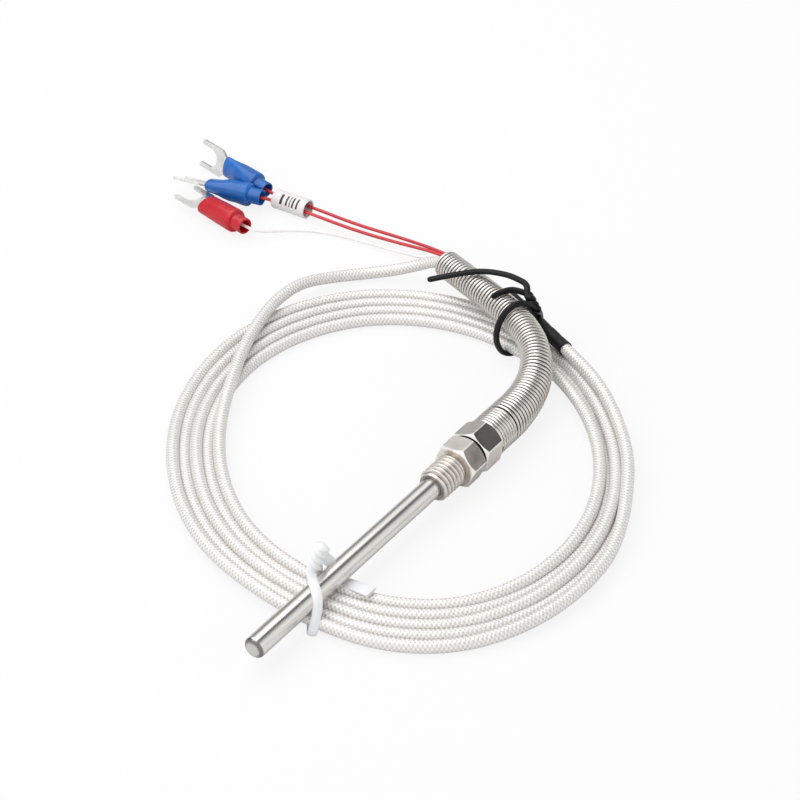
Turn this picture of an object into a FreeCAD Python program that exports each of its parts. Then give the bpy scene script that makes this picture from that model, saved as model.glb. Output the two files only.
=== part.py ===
import FreeCAD, Part
import math
import os
import Sketcher
from FreeCAD import Placement, Rotation, Vector

# Resistance temperature probe lying on a floor: a sheathed sensor with a screwed gland, a strain-relief
# spring and a coiled cable that ends in three fork terminals. Millimetres; X right, Y away, Z up.

DIMENSIONS = [
    ("sheath_diameter", 5.0),
    ("sheath_wall", 0.5),
    ("sheath_exposed", 64.4),
    ("sheath_length", 84.4),
    ("tip_wall", 1.0),
    ("tip_edge", 1.1),
    ("axis_height", 5.85),
    ("element_diameter", 2.8),
    ("element_length", 14.0),
    ("element_start", 2.0),
    ("element_lead_diameter", 0.4),
    ("element_lead_end", 32.0),
    ("lead_offset", 0.75),
    ("lead_bore_diameter", 0.6),
    ("insulator_diameter", 3.4),
    ("insulator_length", 10.0),
    ("insulator_start", 18.0),
    ("filler_end", 17.0),
    ("solder_length", 1.0),
    ("core_diameter", 0.8),
    ("middle_core_offset", 0.95),
    ("core_end", 72.0),
    ("potting_start", 73.0),
    ("thread_diameter", 8.0),
    ("thread_length", 7.5),
    ("thread_chamfer", 0.7),
    ("relief_diameter", 6.6),
    ("relief_length", 1.3),
    ("relief_slope", 0.45),
    ("hex_flats", 10.0),
    ("hex_chamfer", 0.55),
    ("gland_hex_length", 5.5),
    ("running_clearance", 0.05),
    ("collar_diameter", 7.0),
    ("collar_width", 1.5),
    ("collar_play", 0.15),
    ("lip_length", 1.6),
    ("hex_gap", 0.7),
    ("nut_hex_length", 6.4),
    ("nut_seat_depth", 5.0),
    ("stub_diameter", 8.2),
    ("stub_length", 9.0),
    ("cable_diameter", 3.0),
    ("cable_play", 0.1),
    ("spring_wire", 0.9),
    ("spring_depth", 0.4),
    ("spring_seat_diameter", 10.1),
    ("spring_bend_diameter", 7.5),
    ("spring_end_diameter", 7.4),
    ("spring_seat_length", 9.4),
    ("spring_taper_length", 24.0),
    ("spring_turns", 72),
    ("coil_outer_long", 66.3),
    ("coil_outer_short", 53.7),
    ("coil_inner_long", 52.9),
    ("coil_inner_short", 42.3),
    ("coil_blank_height", 8.0),
    ("coil_low_height", 3.2),
    ("coil_slope_deg", 1.55),
    ("shrink_diameter", 3.5),
    ("shrink_length", 25.0),
    ("shrink_grip", 13.5),
    ("red_wire_diameter", 0.9),
    ("white_wire_diameter", 0.8),
    ("marker_diameter", 5.0),
    ("marker_bore", 4.2),
    ("marker_length", 10.4),
    ("fork_thickness", 0.8),
    ("fork_width", 8.0),
    ("fork_slot", 5.4),
    ("fork_reach", 25.7),
    ("fork_slot_depth", 6.2),
    ("fork_edge", 0.55),
    ("fork_root", 3.2),
    ("fork_waist", 4.4),
    ("barrel_diameter", 3.4),
    ("barrel_start", 3.6),
    ("barrel_end", 9.6),
    ("barrel_play", 0.03),
    ("boot_length", 16.0),
    ("boot_neck_diameter", 4.4),
    ("boot_neck_length", 3.6),
    ("boot_diameter", 6.5),
    ("boot_body_end", 10.4),
    ("boot_mouth_width", 7.4),
    ("boot_mouth_height", 2.6),
    ("boot_bore", 3.6),
    ("boot_slit_width", 5.8),
    ("boot_slit_height", 1.5),
    ("boot_shoulder", 0.6),
    ("strip_width", 2.2),
    ("strip_thickness", 0.9),
    ("strip_corner", 1.4),
    ("strip_tail", 13.0),
    ("stem_width", 3.4),
    ("stem_turns", 2.5),
    ("tie_diameter", 1.5),
    ("knot_width", 2.8),
    ("knot_thickness", 2.24),
    ("knot_turns", 1.5),
]

doc = FreeCAD.newDocument("temperature_probe")
sheet = doc.addObject("Spreadsheet::Sheet", "dims")
for row, (alias, number) in enumerate(DIMENSIONS, start=1):
    sheet.set("A%d" % row, alias)
    sheet.set("B%d" % row, str(number))
    sheet.setAlias("B%d" % row, alias)
doc.recompute()


class Size:
    """A number together with the sheet expression that gives it."""

    def __init__(self, value, text):
        self.value = value
        self.text = text

    def join(self, other, sign, value):
        return Size(value, "(%s %s %s)" % (self.text, sign, other.text))

    def __add__(self, other):
        other = as_size(other)
        return self.join(other, "+", self.value + other.value)

    def __sub__(self, other):
        other = as_size(other)
        return self.join(other, "-", self.value - other.value)

    def __mul__(self, other):
        other = as_size(other)
        return self.join(other, "*", self.value * other.value)

    def __truediv__(self, other):
        other = as_size(other)
        return self.join(other, "/", self.value / other.value)

    def __neg__(self):
        return Size(-self.value, "(0 - %s)" % self.text)


def as_size(value):
    if isinstance(value, Size):
        return value
    return Size(float(value), repr(float(value)))


def dim(alias):
    return Size(float(sheet.get(alias)), "dims.%s" % alias)


def bind(target, name, value):
    target.setExpression(name, as_size(value).text)


nodes = []


def keep(target, node):
    """Name a finished sub-part after its node."""
    target.Label = node
    nodes.append(target)
    return target


# Sketches and bodies

def new_body(name):
    return doc.addObject("PartDesign::Body", name)


def new_sketch(body, name, plane, height=None):
    sketch = body.newObject("Sketcher::SketchObject", name)
    support = next(item for item in body.Origin.OriginFeatures if item.Role == plane)
    sketch.AttachmentSupport = [(support, "")]
    sketch.MapMode = "FlatFace"
    if height is not None:
        bind(sketch, "AttachmentOffset.Base.z", height)
    return sketch


def pin_point(sketch, geometry, position, x, y):
    """Hold a point of a sketch at its two distances from the origin."""
    for kind, distance, axis in (("DistanceX", as_size(x), -2), ("DistanceY", as_size(y), -1)):
        if distance.value == 0:
            sketch.addConstraint(Sketcher.Constraint("PointOnObject", geometry, position, axis))
        else:
            index = sketch.addConstraint(
                Sketcher.Constraint(kind, -1, 1, geometry, position, distance.value))
            bind(sketch, "Constraints[%d]" % index, distance)


def draw_polygon(sketch, corners):
    first = sketch.GeometryCount
    count = len(corners)
    places = [Vector(as_size(x).value, as_size(y).value, 0) for x, y in corners]
    for index in range(count):
        sketch.addGeometry(Part.LineSegment(places[index], places[(index + 1) % count]))
    for index in range(count):
        following = first + (index + 1) % count
        sketch.addConstraint(Sketcher.Constraint("Coincident", first + index, 2, following, 1))
    for index, (x, y) in enumerate(corners):
        pin_point(sketch, first + index, 1, x, y)


def draw_circle(sketch, x, y, radius):
    centre = Vector(as_size(x).value, as_size(y).value, 0)
    geometry = sketch.addGeometry(Part.Circle(centre, Vector(0, 0, 1), radius.value))
    pin_point(sketch, geometry, 3, x, y)
    index = sketch.addConstraint(Sketcher.Constraint("Radius", geometry, radius.value))
    bind(sketch, "Constraints[%d]" % index, radius)


def revolve(body, name, outlines, kind="PartDesign::Revolution"):
    """Turn outlines of (radius, height) corners about the body's Z axis."""
    sketch = new_sketch(body, name + "_outline", "XZ_Plane")
    for outline in outlines:
        draw_polygon(sketch, outline)
    feature = body.newObject(kind, name)
    feature.Profile = sketch
    feature.ReferenceAxis = (sketch, ["V_Axis"])
    feature.Angle = 360
    doc.recompute()
    return feature


def pad(body, name, sketch, length, kind="PartDesign::Pad"):
    feature = body.newObject(kind, name)
    feature.Profile = sketch
    bind(feature, "Length", length)
    doc.recompute()
    return feature


CLOSE = 0.01


def fillet(body, name, base, radius, wanted):
    """Round the edges of a feature that the wanted test accepts."""
    chosen = ["Edge%d" % (index + 1) for index, edge in enumerate(base.Shape.Edges) if wanted(edge)]
    feature = body.newObject("PartDesign::Fillet", name)
    feature.Base = (base, chosen)
    bind(feature, "Radius", radius)
    doc.recompute()
    return feature


def ring(name, inner, outer, bottom, top):
    """A turned ring, or a solid disc where the inner radius is zero."""
    body = new_body(name)
    revolve(body, name + "_turn", [[(inner, bottom), (outer, bottom), (outer, top), (inner, top)]])
    return body


# Part primitives

def cylinder(name, radius, start, end, x=0, y=0):
    shape = doc.addObject("Part::Cylinder", name)
    bind(shape, "Radius", radius)
    bind(shape, "Height", end - start)
    bind(shape, "Placement.Base.x", x)
    bind(shape, "Placement.Base.y", y)
    bind(shape, "Placement.Base.z", start)
    return shape


def fuse(name, pieces):
    union = doc.addObject("Part::MultiFuse", name)
    union.Shapes = pieces
    return union


def cut(name, base, tool):
    difference = doc.addObject("Part::Cut", name)
    difference.Base = base
    difference.Tool = tool
    return difference


def plain_feature(name, shape):
    feature = doc.addObject("Part::Feature", name)
    feature.Shape = shape
    return feature


# Cords: straight runs joined by tangent arcs

ARC_SHARE = 0.45
STRAIGHT_ENOUGH = math.radians(0.5)


def cord_path(points):
    """Edges of the path, and the smallest arc radius on it."""
    edges = []
    smallest = None
    start = points[0]
    for before, corner, after in zip(points, points[1:], points[2:]):
        incoming = (corner - before).normalize()
        outgoing = (after - corner).normalize()
        turn = incoming.getAngle(outgoing)
        if turn < STRAIGHT_ENOUGH:
            continue
        reach = ARC_SHARE * min((corner - before).Length, (after - corner).Length)
        radius = reach / math.tan(turn / 2)
        first = corner - incoming * reach
        last = corner + outgoing * reach
        inward = (outgoing - incoming).normalize()
        middle = corner + inward * (radius / math.cos(turn / 2) - radius)
        edges.append(Part.LineSegment(start, first).toShape())
        edges.append(Part.Arc(first, middle, last).toShape())
        start = last
        smallest = radius if smallest is None else min(smallest, radius)
    edges.append(Part.LineSegment(start, points[-1]).toShape())
    return edges, smallest


def cord_shape(points, diameter, name):
    points = [Vector(*point) for point in points]
    edges, smallest = cord_path(points)
    path = Part.Wire(edges)
    section = Part.Wire([Part.makeCircle(diameter / 2, points[0], points[1] - points[0])])
    solid = path.makePipeShell([section], True, False)
    expected = math.pi * diameter ** 2 / 4 * path.Length
    if abs(solid.Volume - expected) > 0.01 * expected:
        raise RuntimeError("%s: volume %.1f, expected %.1f" % (name, solid.Volume, expected))
    print("%s: length %.1f, smallest radius %.1f (%.1f diameters)"
          % (name, path.Length, smallest, smallest / diameter))
    return solid


def cord(name, points, diameter):
    return keep(plain_feature(name, cord_shape(points, diameter.value, name)), name)


# Probe axis: from the tip towards the cable

PROBE_TIP = Vector(-34.60, -69.18, dim("axis_height").value)
PROBE_HEADING = math.radians(54.28)
PROBE_AXIS = Vector(math.cos(PROBE_HEADING), math.sin(PROBE_HEADING), 0)
PROBE_RIGHT = Vector(PROBE_AXIS.y, -PROBE_AXIS.x, 0)
UP = Vector(0, 0, 1)
GLAND_ROLL = math.radians(9.6)
NUT_ROLL = math.radians(24.6)


def station(distance):
    return PROBE_TIP + PROBE_AXIS * distance


def on_probe(distance=0.0, roll=0.0):
    """Place of a piece turned about the probe axis, its Z along the axis."""
    corner = PROBE_RIGHT * math.cos(roll) + UP * math.sin(roll)
    side = PROBE_AXIS.cross(corner)
    return Placement(station(distance), Rotation(corner, side, PROBE_AXIS, "ZXY"))


def place_on_probe(target, node, distance=0.0, roll=0.0):
    target.Placement = on_probe(distance, roll)
    return keep(target, node)


# Sheath and what it holds

sheath_radius = dim("sheath_diameter") / 2
sheath_bore = sheath_radius - dim("sheath_wall")
cable_radius = dim("cable_diameter") / 2

sheath = new_body("sheath_body")
sheath_turn = revolve(sheath, "sheath_turn", [[
    (0, 0), (sheath_radius, 0), (sheath_radius, dim("sheath_length")), (sheath_bore, dim("sheath_length")),
    (sheath_bore, dim("tip_wall")), (0, dim("tip_wall"))]])
fillet(sheath, "sheath_tip_round", sheath_turn, dim("tip_edge"),
       lambda edge: edge.Curve.TypeId == "Part::GeomCircle" and edge.BoundBox.ZMax < CLOSE)
place_on_probe(sheath, "sheath_tube")

element_radius = dim("element_diameter") / 2
element_end = dim("element_start") + dim("element_length")
element = ring("element_body", 0, element_radius, dim("element_start"), element_end)
place_on_probe(element, "sensing_element")
filler = ring("filler_body", element_radius, sheath_bore, dim("tip_wall"), dim("filler_end"))
place_on_probe(filler, "tip_filler")

lead_radius = dim("element_lead_diameter") / 2
core_radius = dim("core_diameter") / 2
core_start = dim("element_lead_end") + dim("solder_length")
insulator = new_body("insulator_body")
insulator_outline = new_sketch(insulator, "insulator_outline", "XY_Plane", dim("insulator_start"))
draw_circle(insulator_outline, 0, 0, dim("insulator_diameter") / 2)
for side in (1, -1):
    draw_circle(insulator_outline, dim("lead_offset") * side, 0, dim("lead_bore_diameter") / 2)
pad(insulator, "insulator_pad", insulator_outline, dim("insulator_length"))
place_on_probe(insulator, "lead_insulator")


def along_probe(node, radius, start, end, x, y):
    """A round rod parallel to the probe axis."""
    body = new_body(node + "_body")
    outline = new_sketch(body, node + "_outline", "XY_Plane", start)
    draw_circle(outline, x, y, radius)
    pad(body, node + "_pad", outline, end - start)
    return place_on_probe(body, node)


along_probe("element_lead_live", lead_radius, element_end, dim("element_lead_end"), dim("lead_offset"), 0)
along_probe("element_lead_return", lead_radius, element_end, core_start, -dim("lead_offset"), 0)
along_probe("core_red_1", core_radius, core_start, dim("core_end"), dim("lead_offset"), 0)
along_probe("core_red_2", core_radius, core_start, dim("core_end"), 0, dim("middle_core_offset"))
along_probe("core_white", core_radius, core_start, dim("core_end"), -dim("lead_offset"), 0)

SOLDER_STEP = 0.6
solder = new_body("solder_body")
solder_outline = new_sketch(solder, "solder_outline", "XY_Plane", dim("element_lead_end"))
draw_polygon(solder_outline, [
    (dim("lead_offset") - core_radius, -core_radius), (dim("lead_offset") + core_radius, -core_radius),
    (dim("lead_offset") + core_radius, dim("middle_core_offset") + core_radius),
    (-core_radius, dim("middle_core_offset") + core_radius),
    (-core_radius, SOLDER_STEP), (dim("lead_offset") - core_radius, SOLDER_STEP)])
pad(solder, "solder_pad", solder_outline, dim("solder_length"))
place_on_probe(solder, "solder_joint")

potting = ring("potting_body", cable_radius, sheath_bore, dim("potting_start"), dim("sheath_length"))
place_on_probe(potting, "rear_potting")


# Gland screw, its collar on the sheath, and the spring nut

BEVEL_MARGIN = 0.15
END_MARGIN = 1.0


def hexagon(body, name, height, length):
    """Hexagonal head with both ends turned to a bevel."""
    corner = dim("hex_flats") / math.sqrt(3)
    flat = dim("hex_flats") / 2
    outline = new_sketch(body, name + "_outline", "XY_Plane", height)
    draw_polygon(outline, [(corner, 0), (corner / 2, flat), (-corner / 2, flat),
                           (-corner, 0), (-corner / 2, -flat), (corner / 2, -flat)])
    pad(body, name + "_pad", outline, length)
    edge = flat - BEVEL_MARGIN
    beyond = corner + BEVEL_MARGIN
    bevel = dim("hex_chamfer")
    top = as_size(height) + length
    revolve(body, name + "_bevel", [
        [(edge, height), (beyond, height), (beyond, as_size(height) + bevel)],
        [(edge, top), (beyond, top), (beyond, top - bevel)]], "PartDesign::Groove")


thread_radius = dim("thread_diameter") / 2
relief_radius = dim("relief_diameter") / 2
gland_face = dim("thread_length") + dim("relief_length")
gland_end = gland_face + dim("gland_hex_length")
gland_bore = sheath_radius + dim("running_clearance")
collar_radius = dim("collar_diameter") / 2
chamber_end = gland_end - dim("lip_length")
chamber_start = chamber_end - dim("collar_width") - dim("collar_play") * 2

gland = new_body("gland_body")
hexagon(gland, "gland_hex", gland_face, dim("gland_hex_length"))
revolve(gland, "gland_shank", [[
    (0, 0), (thread_radius - dim("thread_chamfer"), 0), (thread_radius, dim("thread_chamfer")),
    (thread_radius, dim("thread_length")), (relief_radius, dim("thread_length") + dim("relief_slope")),
    (relief_radius, gland_face + END_MARGIN), (0, gland_face + END_MARGIN)]])
revolve(gland, "gland_bore", [[
    (0, -END_MARGIN), (gland_bore, -END_MARGIN), (gland_bore, chamber_start),
    (collar_radius + dim("collar_play"), chamber_start), (collar_radius + dim("collar_play"), chamber_end),
    (gland_bore, chamber_end), (gland_bore, gland_end + END_MARGIN), (0, gland_end + END_MARGIN)]],
    "PartDesign::Groove")
place_on_probe(gland, "gland_screw", dim("sheath_exposed").value, GLAND_ROLL)

collar_start = chamber_start + dim("collar_play")
collar = ring("collar_body", sheath_radius, collar_radius, collar_start, collar_start + dim("collar_width"))
place_on_probe(collar, "retaining_collar", dim("sheath_exposed").value)

nut_start = dim("sheath_exposed") + gland_end + dim("hex_gap")
nut_end = dim("nut_hex_length") + dim("stub_length")
cable_bore = cable_radius + dim("cable_play")
nut = new_body("nut_body")
hexagon(nut, "nut_hex", as_size(0), dim("nut_hex_length"))
revolve(nut, "nut_stub", [[
    (0, dim("nut_hex_length") - END_MARGIN), (dim("stub_diameter") / 2, dim("nut_hex_length") - END_MARGIN),
    (dim("stub_diameter") / 2, nut_end), (0, nut_end)]])
revolve(nut, "nut_bore", [[
    (0, -END_MARGIN), (sheath_radius, -END_MARGIN), (sheath_radius, dim("nut_seat_depth")),
    (cable_bore, dim("nut_seat_depth")), (cable_bore, nut_end + END_MARGIN), (0, nut_end + END_MARGIN)]],
    "PartDesign::Groove")
place_on_probe(nut, "spring_nut", nut_start.value, NUT_ROLL)


# Strain-relief spring: close turns, straight over the nut's stub, then bent to a free end

SPRING_LEAD = 9.6
SPRING_BEND = [Vector(29.49, 28.5, 9.18), Vector(25.51, 41.32, 10.17), Vector(17.22, 53.73, 10.07),
               Vector(7.56, 68.45, 9.0)]
SPRING_SIDES = 16
BORE_STEPS = 14
BORE_SIDES = 12
SPRING_PLAY = 0.03

spring_start = nut_start.value + dim("nut_hex_length").value
spring_seat = dim("spring_seat_length").value
spring_straight = dim("stub_length").value
stub_end = spring_start + spring_straight
spring_poles = [station(stub_end), station(stub_end + SPRING_LEAD)] + SPRING_BEND
spring_curve = Part.BSplineCurve()
spring_curve.buildFromPolesMultsKnots(spring_poles, [3, 1, 1, 1, 3], [0, 1, 2, 3, 4], False, 2)
spring_length = spring_straight + spring_curve.length()


def spring_frame(distance):
    """Point and direction of the spring's centre line at a distance from the nut."""
    if distance <= spring_straight:
        return station(spring_start + distance), PROBE_AXIS
    parameter = spring_curve.parameterAtDistance(min(distance - spring_straight, spring_curve.length()))
    return spring_curve.value(parameter), Vector(*spring_curve.tangent(parameter)[0]).normalize()


def spring_radius(distance):
    """Outside radius: full over the stub, falling to the bend, then slowly to the end."""
    seat = dim("spring_seat_diameter").value / 2
    bend = dim("spring_bend_diameter").value / 2
    end = dim("spring_end_diameter").value / 2
    taper = dim("spring_taper_length").value
    if distance <= spring_seat:
        return seat
    if distance <= spring_seat + taper:
        return seat + (bend - seat) * (distance - spring_seat) / taper
    return bend + (end - bend) * (distance - spring_seat - taper) / (spring_length - spring_seat - taper)


def spring_section(distance, radius, sides):
    centre, direction = spring_frame(distance)
    side = direction.cross(UP).normalize()
    rise = side.cross(direction)
    corners = []
    for index in range(sides + 1):
        angle = 2 * math.pi * index / sides
        corners.append(centre + side * (radius * math.cos(angle)) + rise * (radius * math.sin(angle)))
    corners[-1] = corners[0]
    return Part.makePolygon(corners)


half_turns = 2 * int(dim("spring_turns").value)
spring_sections = []
for index in range(half_turns + 1):
    place = spring_length * index / half_turns
    depth = dim("spring_depth").value if index % 2 == 0 else 0.0
    spring_sections.append(spring_section(place, spring_radius(place) - depth, SPRING_SIDES))
bore_sections = []
for index in range(BORE_STEPS + 1):
    place = spring_length * index / BORE_STEPS
    clear = (spring_radius(place) - dim("spring_wire").value + SPRING_PLAY) / math.cos(math.pi / BORE_SIDES)
    bore_sections.append(spring_section(place, clear, BORE_SIDES))
spring_outside = Part.makeLoft(spring_sections, True, True)
spring_inside = Part.makeLoft(bore_sections, True, True)
keep(plain_feature("strain_spring_turns", spring_outside.cut(spring_inside)), "strain_spring")


# Cable

COIL_OUTER_CENTRE = (-3.8, 0.7)
COIL_OUTER_TURN = 99.8
COIL_INNER_CENTRE = (-2.2, 1.7)
COIL_INNER_TURN = 100.4
COIL_FALL = Vector(0.8, 0.6, 0)
COIL_LOW_PLACE = -31.32
SLOPE_BLOCK = 300.0

CABLE_IN_SPRING = [tuple(station(dim("core_end").value)), tuple(station(spring_start)),
                   tuple(station(stub_end)), (25.5, 15.3, 6.3), (28.7, 28.5, 8.9), (25.1, 41.4, 10.1),
                   (17.5, 53.4, 10.0), (11.0, 63.3, 9.4), (7.56, 68.45, 8.7)]
LEAD_OUT = [(7.56, 68.45, 8.7), (4.9, 71.9, 7.4), (0.6, 73.6, 5.0), (-5.0, 74.5, 2.9), (-12.3, 74.6, 1.8),
            (-21.3, 72.2, 1.6), (-29.2, 66.5, 2.2), (-35.1, 57.8, 3.6), (-39.0, 47.8, 4.9), (-41.4, 38.6, 2.6)]
LEAD_IN = [(48.6, -1.7, 3.0), (46.7, 8.0, 4.2), (43.8, 17.4, 5.6), (40.2, 25.7, 6.7), (36.1, 33.9, 7.3)]

shrink_start = Vector(*LEAD_IN[-1])
SHRINK_HEADING = math.radians(119.5)
shrink_axis = Vector(math.cos(SHRINK_HEADING), math.sin(SHRINK_HEADING), 0)
shrink_side = Vector(shrink_axis.y, -shrink_axis.x, 0)
cable_end = shrink_start + shrink_axis * dim("shrink_grip").value
shrink_end = shrink_start + shrink_axis * dim("shrink_length").value

cord("cable_in_spring", CABLE_IN_SPRING, dim("cable_diameter"))
cord("cable_lead_out", LEAD_OUT, dim("cable_diameter"))
cord("cable_lead_in", LEAD_IN + [tuple(cable_end)], dim("cable_diameter"))


def oval_prism(name, long_radius, short_radius, height, centre, turn):
    oval = doc.addObject("Part::Ellipse", name + "_oval")
    bind(oval, "MajorRadius", long_radius)
    bind(oval, "MinorRadius", short_radius)
    oval.Placement = Placement(Vector(centre[0], centre[1], 0), Rotation(UP, turn))
    prism = doc.addObject("Part::Extrusion", name)
    prism.Base = oval
    prism.DirMode = "Normal"
    bind(prism, "LengthFwd", height)
    prism.Solid = True
    return prism


def block(name, length, width, height, place):
    shape = doc.addObject("Part::Box", name)
    bind(shape, "Length", length)
    bind(shape, "Width", width)
    bind(shape, "Height", height)
    shape.Placement = place
    return shape


# The tied bundle's turns as one closed ring, higher on the right, with room for the ties beneath

STRIP_PLANE = -21.4
STRIP_MIDDLE = -51.8
TIE_PLACE = Vector(24.4, 41.4, 0)
TIE_HEADING = math.radians(20.5)
TIE_ACROSS = Vector(math.cos(TIE_HEADING), math.sin(TIE_HEADING), 0)
TIE_CHANNEL = (3.0, 26.0, 2.5)
TIE_CHANNEL_SHIFT = 4.0
STRIP_CHANNEL = (3.0, 26.0, 1.2)

coil_outside = oval_prism("coil_outside", dim("coil_outer_long"), dim("coil_outer_short"),
                          dim("coil_blank_height"), COIL_OUTER_CENTRE, COIL_OUTER_TURN)
coil_inside = oval_prism("coil_inside", dim("coil_inner_long"), dim("coil_inner_short"),
                         dim("coil_blank_height"), COIL_INNER_CENTRE, COIL_INNER_TURN)
slope_origin = COIL_FALL * COIL_LOW_PLACE + UP * dim("coil_low_height").value
slope_turn = Rotation(UP.cross(COIL_FALL), -dim("coil_slope_deg").value)
slope_corner = Vector(-SLOPE_BLOCK / 2, -SLOPE_BLOCK / 2, 0)
coil_top = block("coil_top", SLOPE_BLOCK, SLOPE_BLOCK, dim("coil_blank_height") * 2,
                 Placement(slope_origin + slope_turn.multVec(slope_corner), slope_turn))


def channel(name, sizes, centre, heading_deg):
    width, length, height = sizes
    turn = Rotation(UP, heading_deg)
    corner = centre + turn.multVec(Vector(-length / 2, -width / 2, -END_MARGIN))
    return block(name, length, width, height + END_MARGIN, Placement(corner, turn))


strip_channel = channel("strip_channel", STRIP_CHANNEL, Vector(STRIP_PLANE, STRIP_MIDDLE, 0), 90.0)
tie_channel = channel("tie_channel", TIE_CHANNEL, TIE_PLACE + TIE_ACROSS * TIE_CHANNEL_SHIFT,
                      math.degrees(TIE_HEADING))
coil = cut("coil_ring", coil_outside,
           fuse("coil_waste", [coil_inside, coil_top, strip_channel, tie_channel]))
keep(coil, "cable_coil")


# Heat-shrink sleeve, signal wires and their marker

def frame_along(origin, direction, roll=0.0):
    """Place with Z along a direction and X across it, turned by a roll."""
    direction = Vector(direction).normalize()
    across = direction.cross(UP).normalize()
    rise = across.cross(direction)
    first = across * math.cos(roll) + rise * math.sin(roll)
    return Placement(origin, Rotation(first, direction.cross(first), direction, "ZXY"))


shrink = ring("shrink_body", cable_radius, dim("shrink_diameter") / 2, as_size(0), dim("shrink_length"))
shrink.Placement = frame_along(shrink_start, shrink_axis)
keep(shrink, "heat_shrink_sleeve")

MARKER_START = Vector(-28.8, 104.1, 2.5)
MARKER_HEADING = math.radians(148.0)
marker_axis = Vector(math.cos(MARKER_HEADING), math.sin(MARKER_HEADING), 0)
marker_side = Vector(marker_axis.y, -marker_axis.x, 0)
marker_end = MARKER_START + marker_axis * dim("marker_length").value
marker = ring("marker_body", dim("marker_bore") / 2, dim("marker_diameter") / 2, as_size(0),
              dim("marker_length"))
marker.Placement = frame_along(MARKER_START, marker_axis)
keep(marker, "marker_sleeve")

# Terminals: neck end of the boot, heading and pitch from neck to fork, and roll of the fork
TERMINALS = {
    "blue_far": (Vector(-40.2, 112.5, 3.2), 137.0, 3.5, 78.0),
    "blue_near": (Vector(-41.2, 107.3, 4.1), 154.7, -1.0, -30.0),
    "red": (Vector(-45.1, 93.9, 3.6), 132.8, -2.0, -2.0),
}
FAR_APPROACH = 1.5
NEAR_APPROACH = 0.3
WHITE_APPROACH = 2.0
WIRE_DEPTH = 8.0
WIRE_STRAIGHT = 4.0


def terminal_axis(name):
    neck, heading, pitch, roll = TERMINALS[name]
    heading = math.radians(heading)
    pitch = math.radians(pitch)
    return Vector(math.cos(heading) * math.cos(pitch), math.sin(heading) * math.cos(pitch), math.sin(pitch))


def wire_end(name, approach):
    """Last two route points of a wire: in front of the boot and inside its barrel."""
    neck = TERMINALS[name][0]
    return [tuple(neck - terminal_axis(name) * approach), tuple(neck + terminal_axis(name) * WIRE_DEPTH)]


def in_shrink(side, rise):
    shift = shrink_side * side + UP * rise
    return [tuple(cable_end + shift), tuple(shrink_end + shrink_axis * WIRE_STRAIGHT + shift)]


def in_marker(side):
    shift = marker_side * side
    return [tuple(MARKER_START + shift), tuple(marker_end + marker_axis * MARKER_EXIT + shift)]


RED_SPREAD = 0.65
RED_RISE = -0.3
WHITE_RISE = 0.85
MARKER_SPREAD = 1.4
MARKER_EXIT = 0.6
RED_FAR = [(15.0, 73.1, 4.6), (7.0, 82.5, 2.5), (-4.2, 91.0, 1.7), (-15.8, 97.8, 1.6)]
RED_NEAR = [(13.6, 72.1, 4.6), (6.2, 80.9, 2.5), (-5.2, 88.4, 1.7), (-16.6, 95.4, 1.6)]
WHITE_ROUTE = [(13.2, 71.0, 6.2), (5.8, 78.0, 3.4), (-4.0, 84.6, 1.5), (-14.4, 91.4, 0.8), (-24.4, 96.1, 0.5),
               (-32.0, 96.9, 0.6), (-37.6, 95.0, 1.4), (-41.2, 92.9, 2.7)]

far_route = (in_shrink(RED_SPREAD, RED_RISE) + RED_FAR + in_marker(MARKER_SPREAD)
             + wire_end("blue_far", FAR_APPROACH))
near_route = (in_shrink(-RED_SPREAD, RED_RISE) + RED_NEAR + in_marker(-MARKER_SPREAD)
              + wire_end("blue_near", NEAR_APPROACH))
white_route = in_shrink(0.0, WHITE_RISE) + WHITE_ROUTE + wire_end("red", WHITE_APPROACH)
cord("red_wire_1", far_route, dim("red_wire_diameter"))
cord("red_wire_2", near_route, dim("red_wire_diameter"))
cord("white_wire", white_route, dim("white_wire_diameter"))


# Fork terminals and their boots

def terminal_place(name):
    neck, heading, pitch, roll = TERMINALS[name]
    return frame_along(neck, terminal_axis(name), math.radians(roll))


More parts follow.
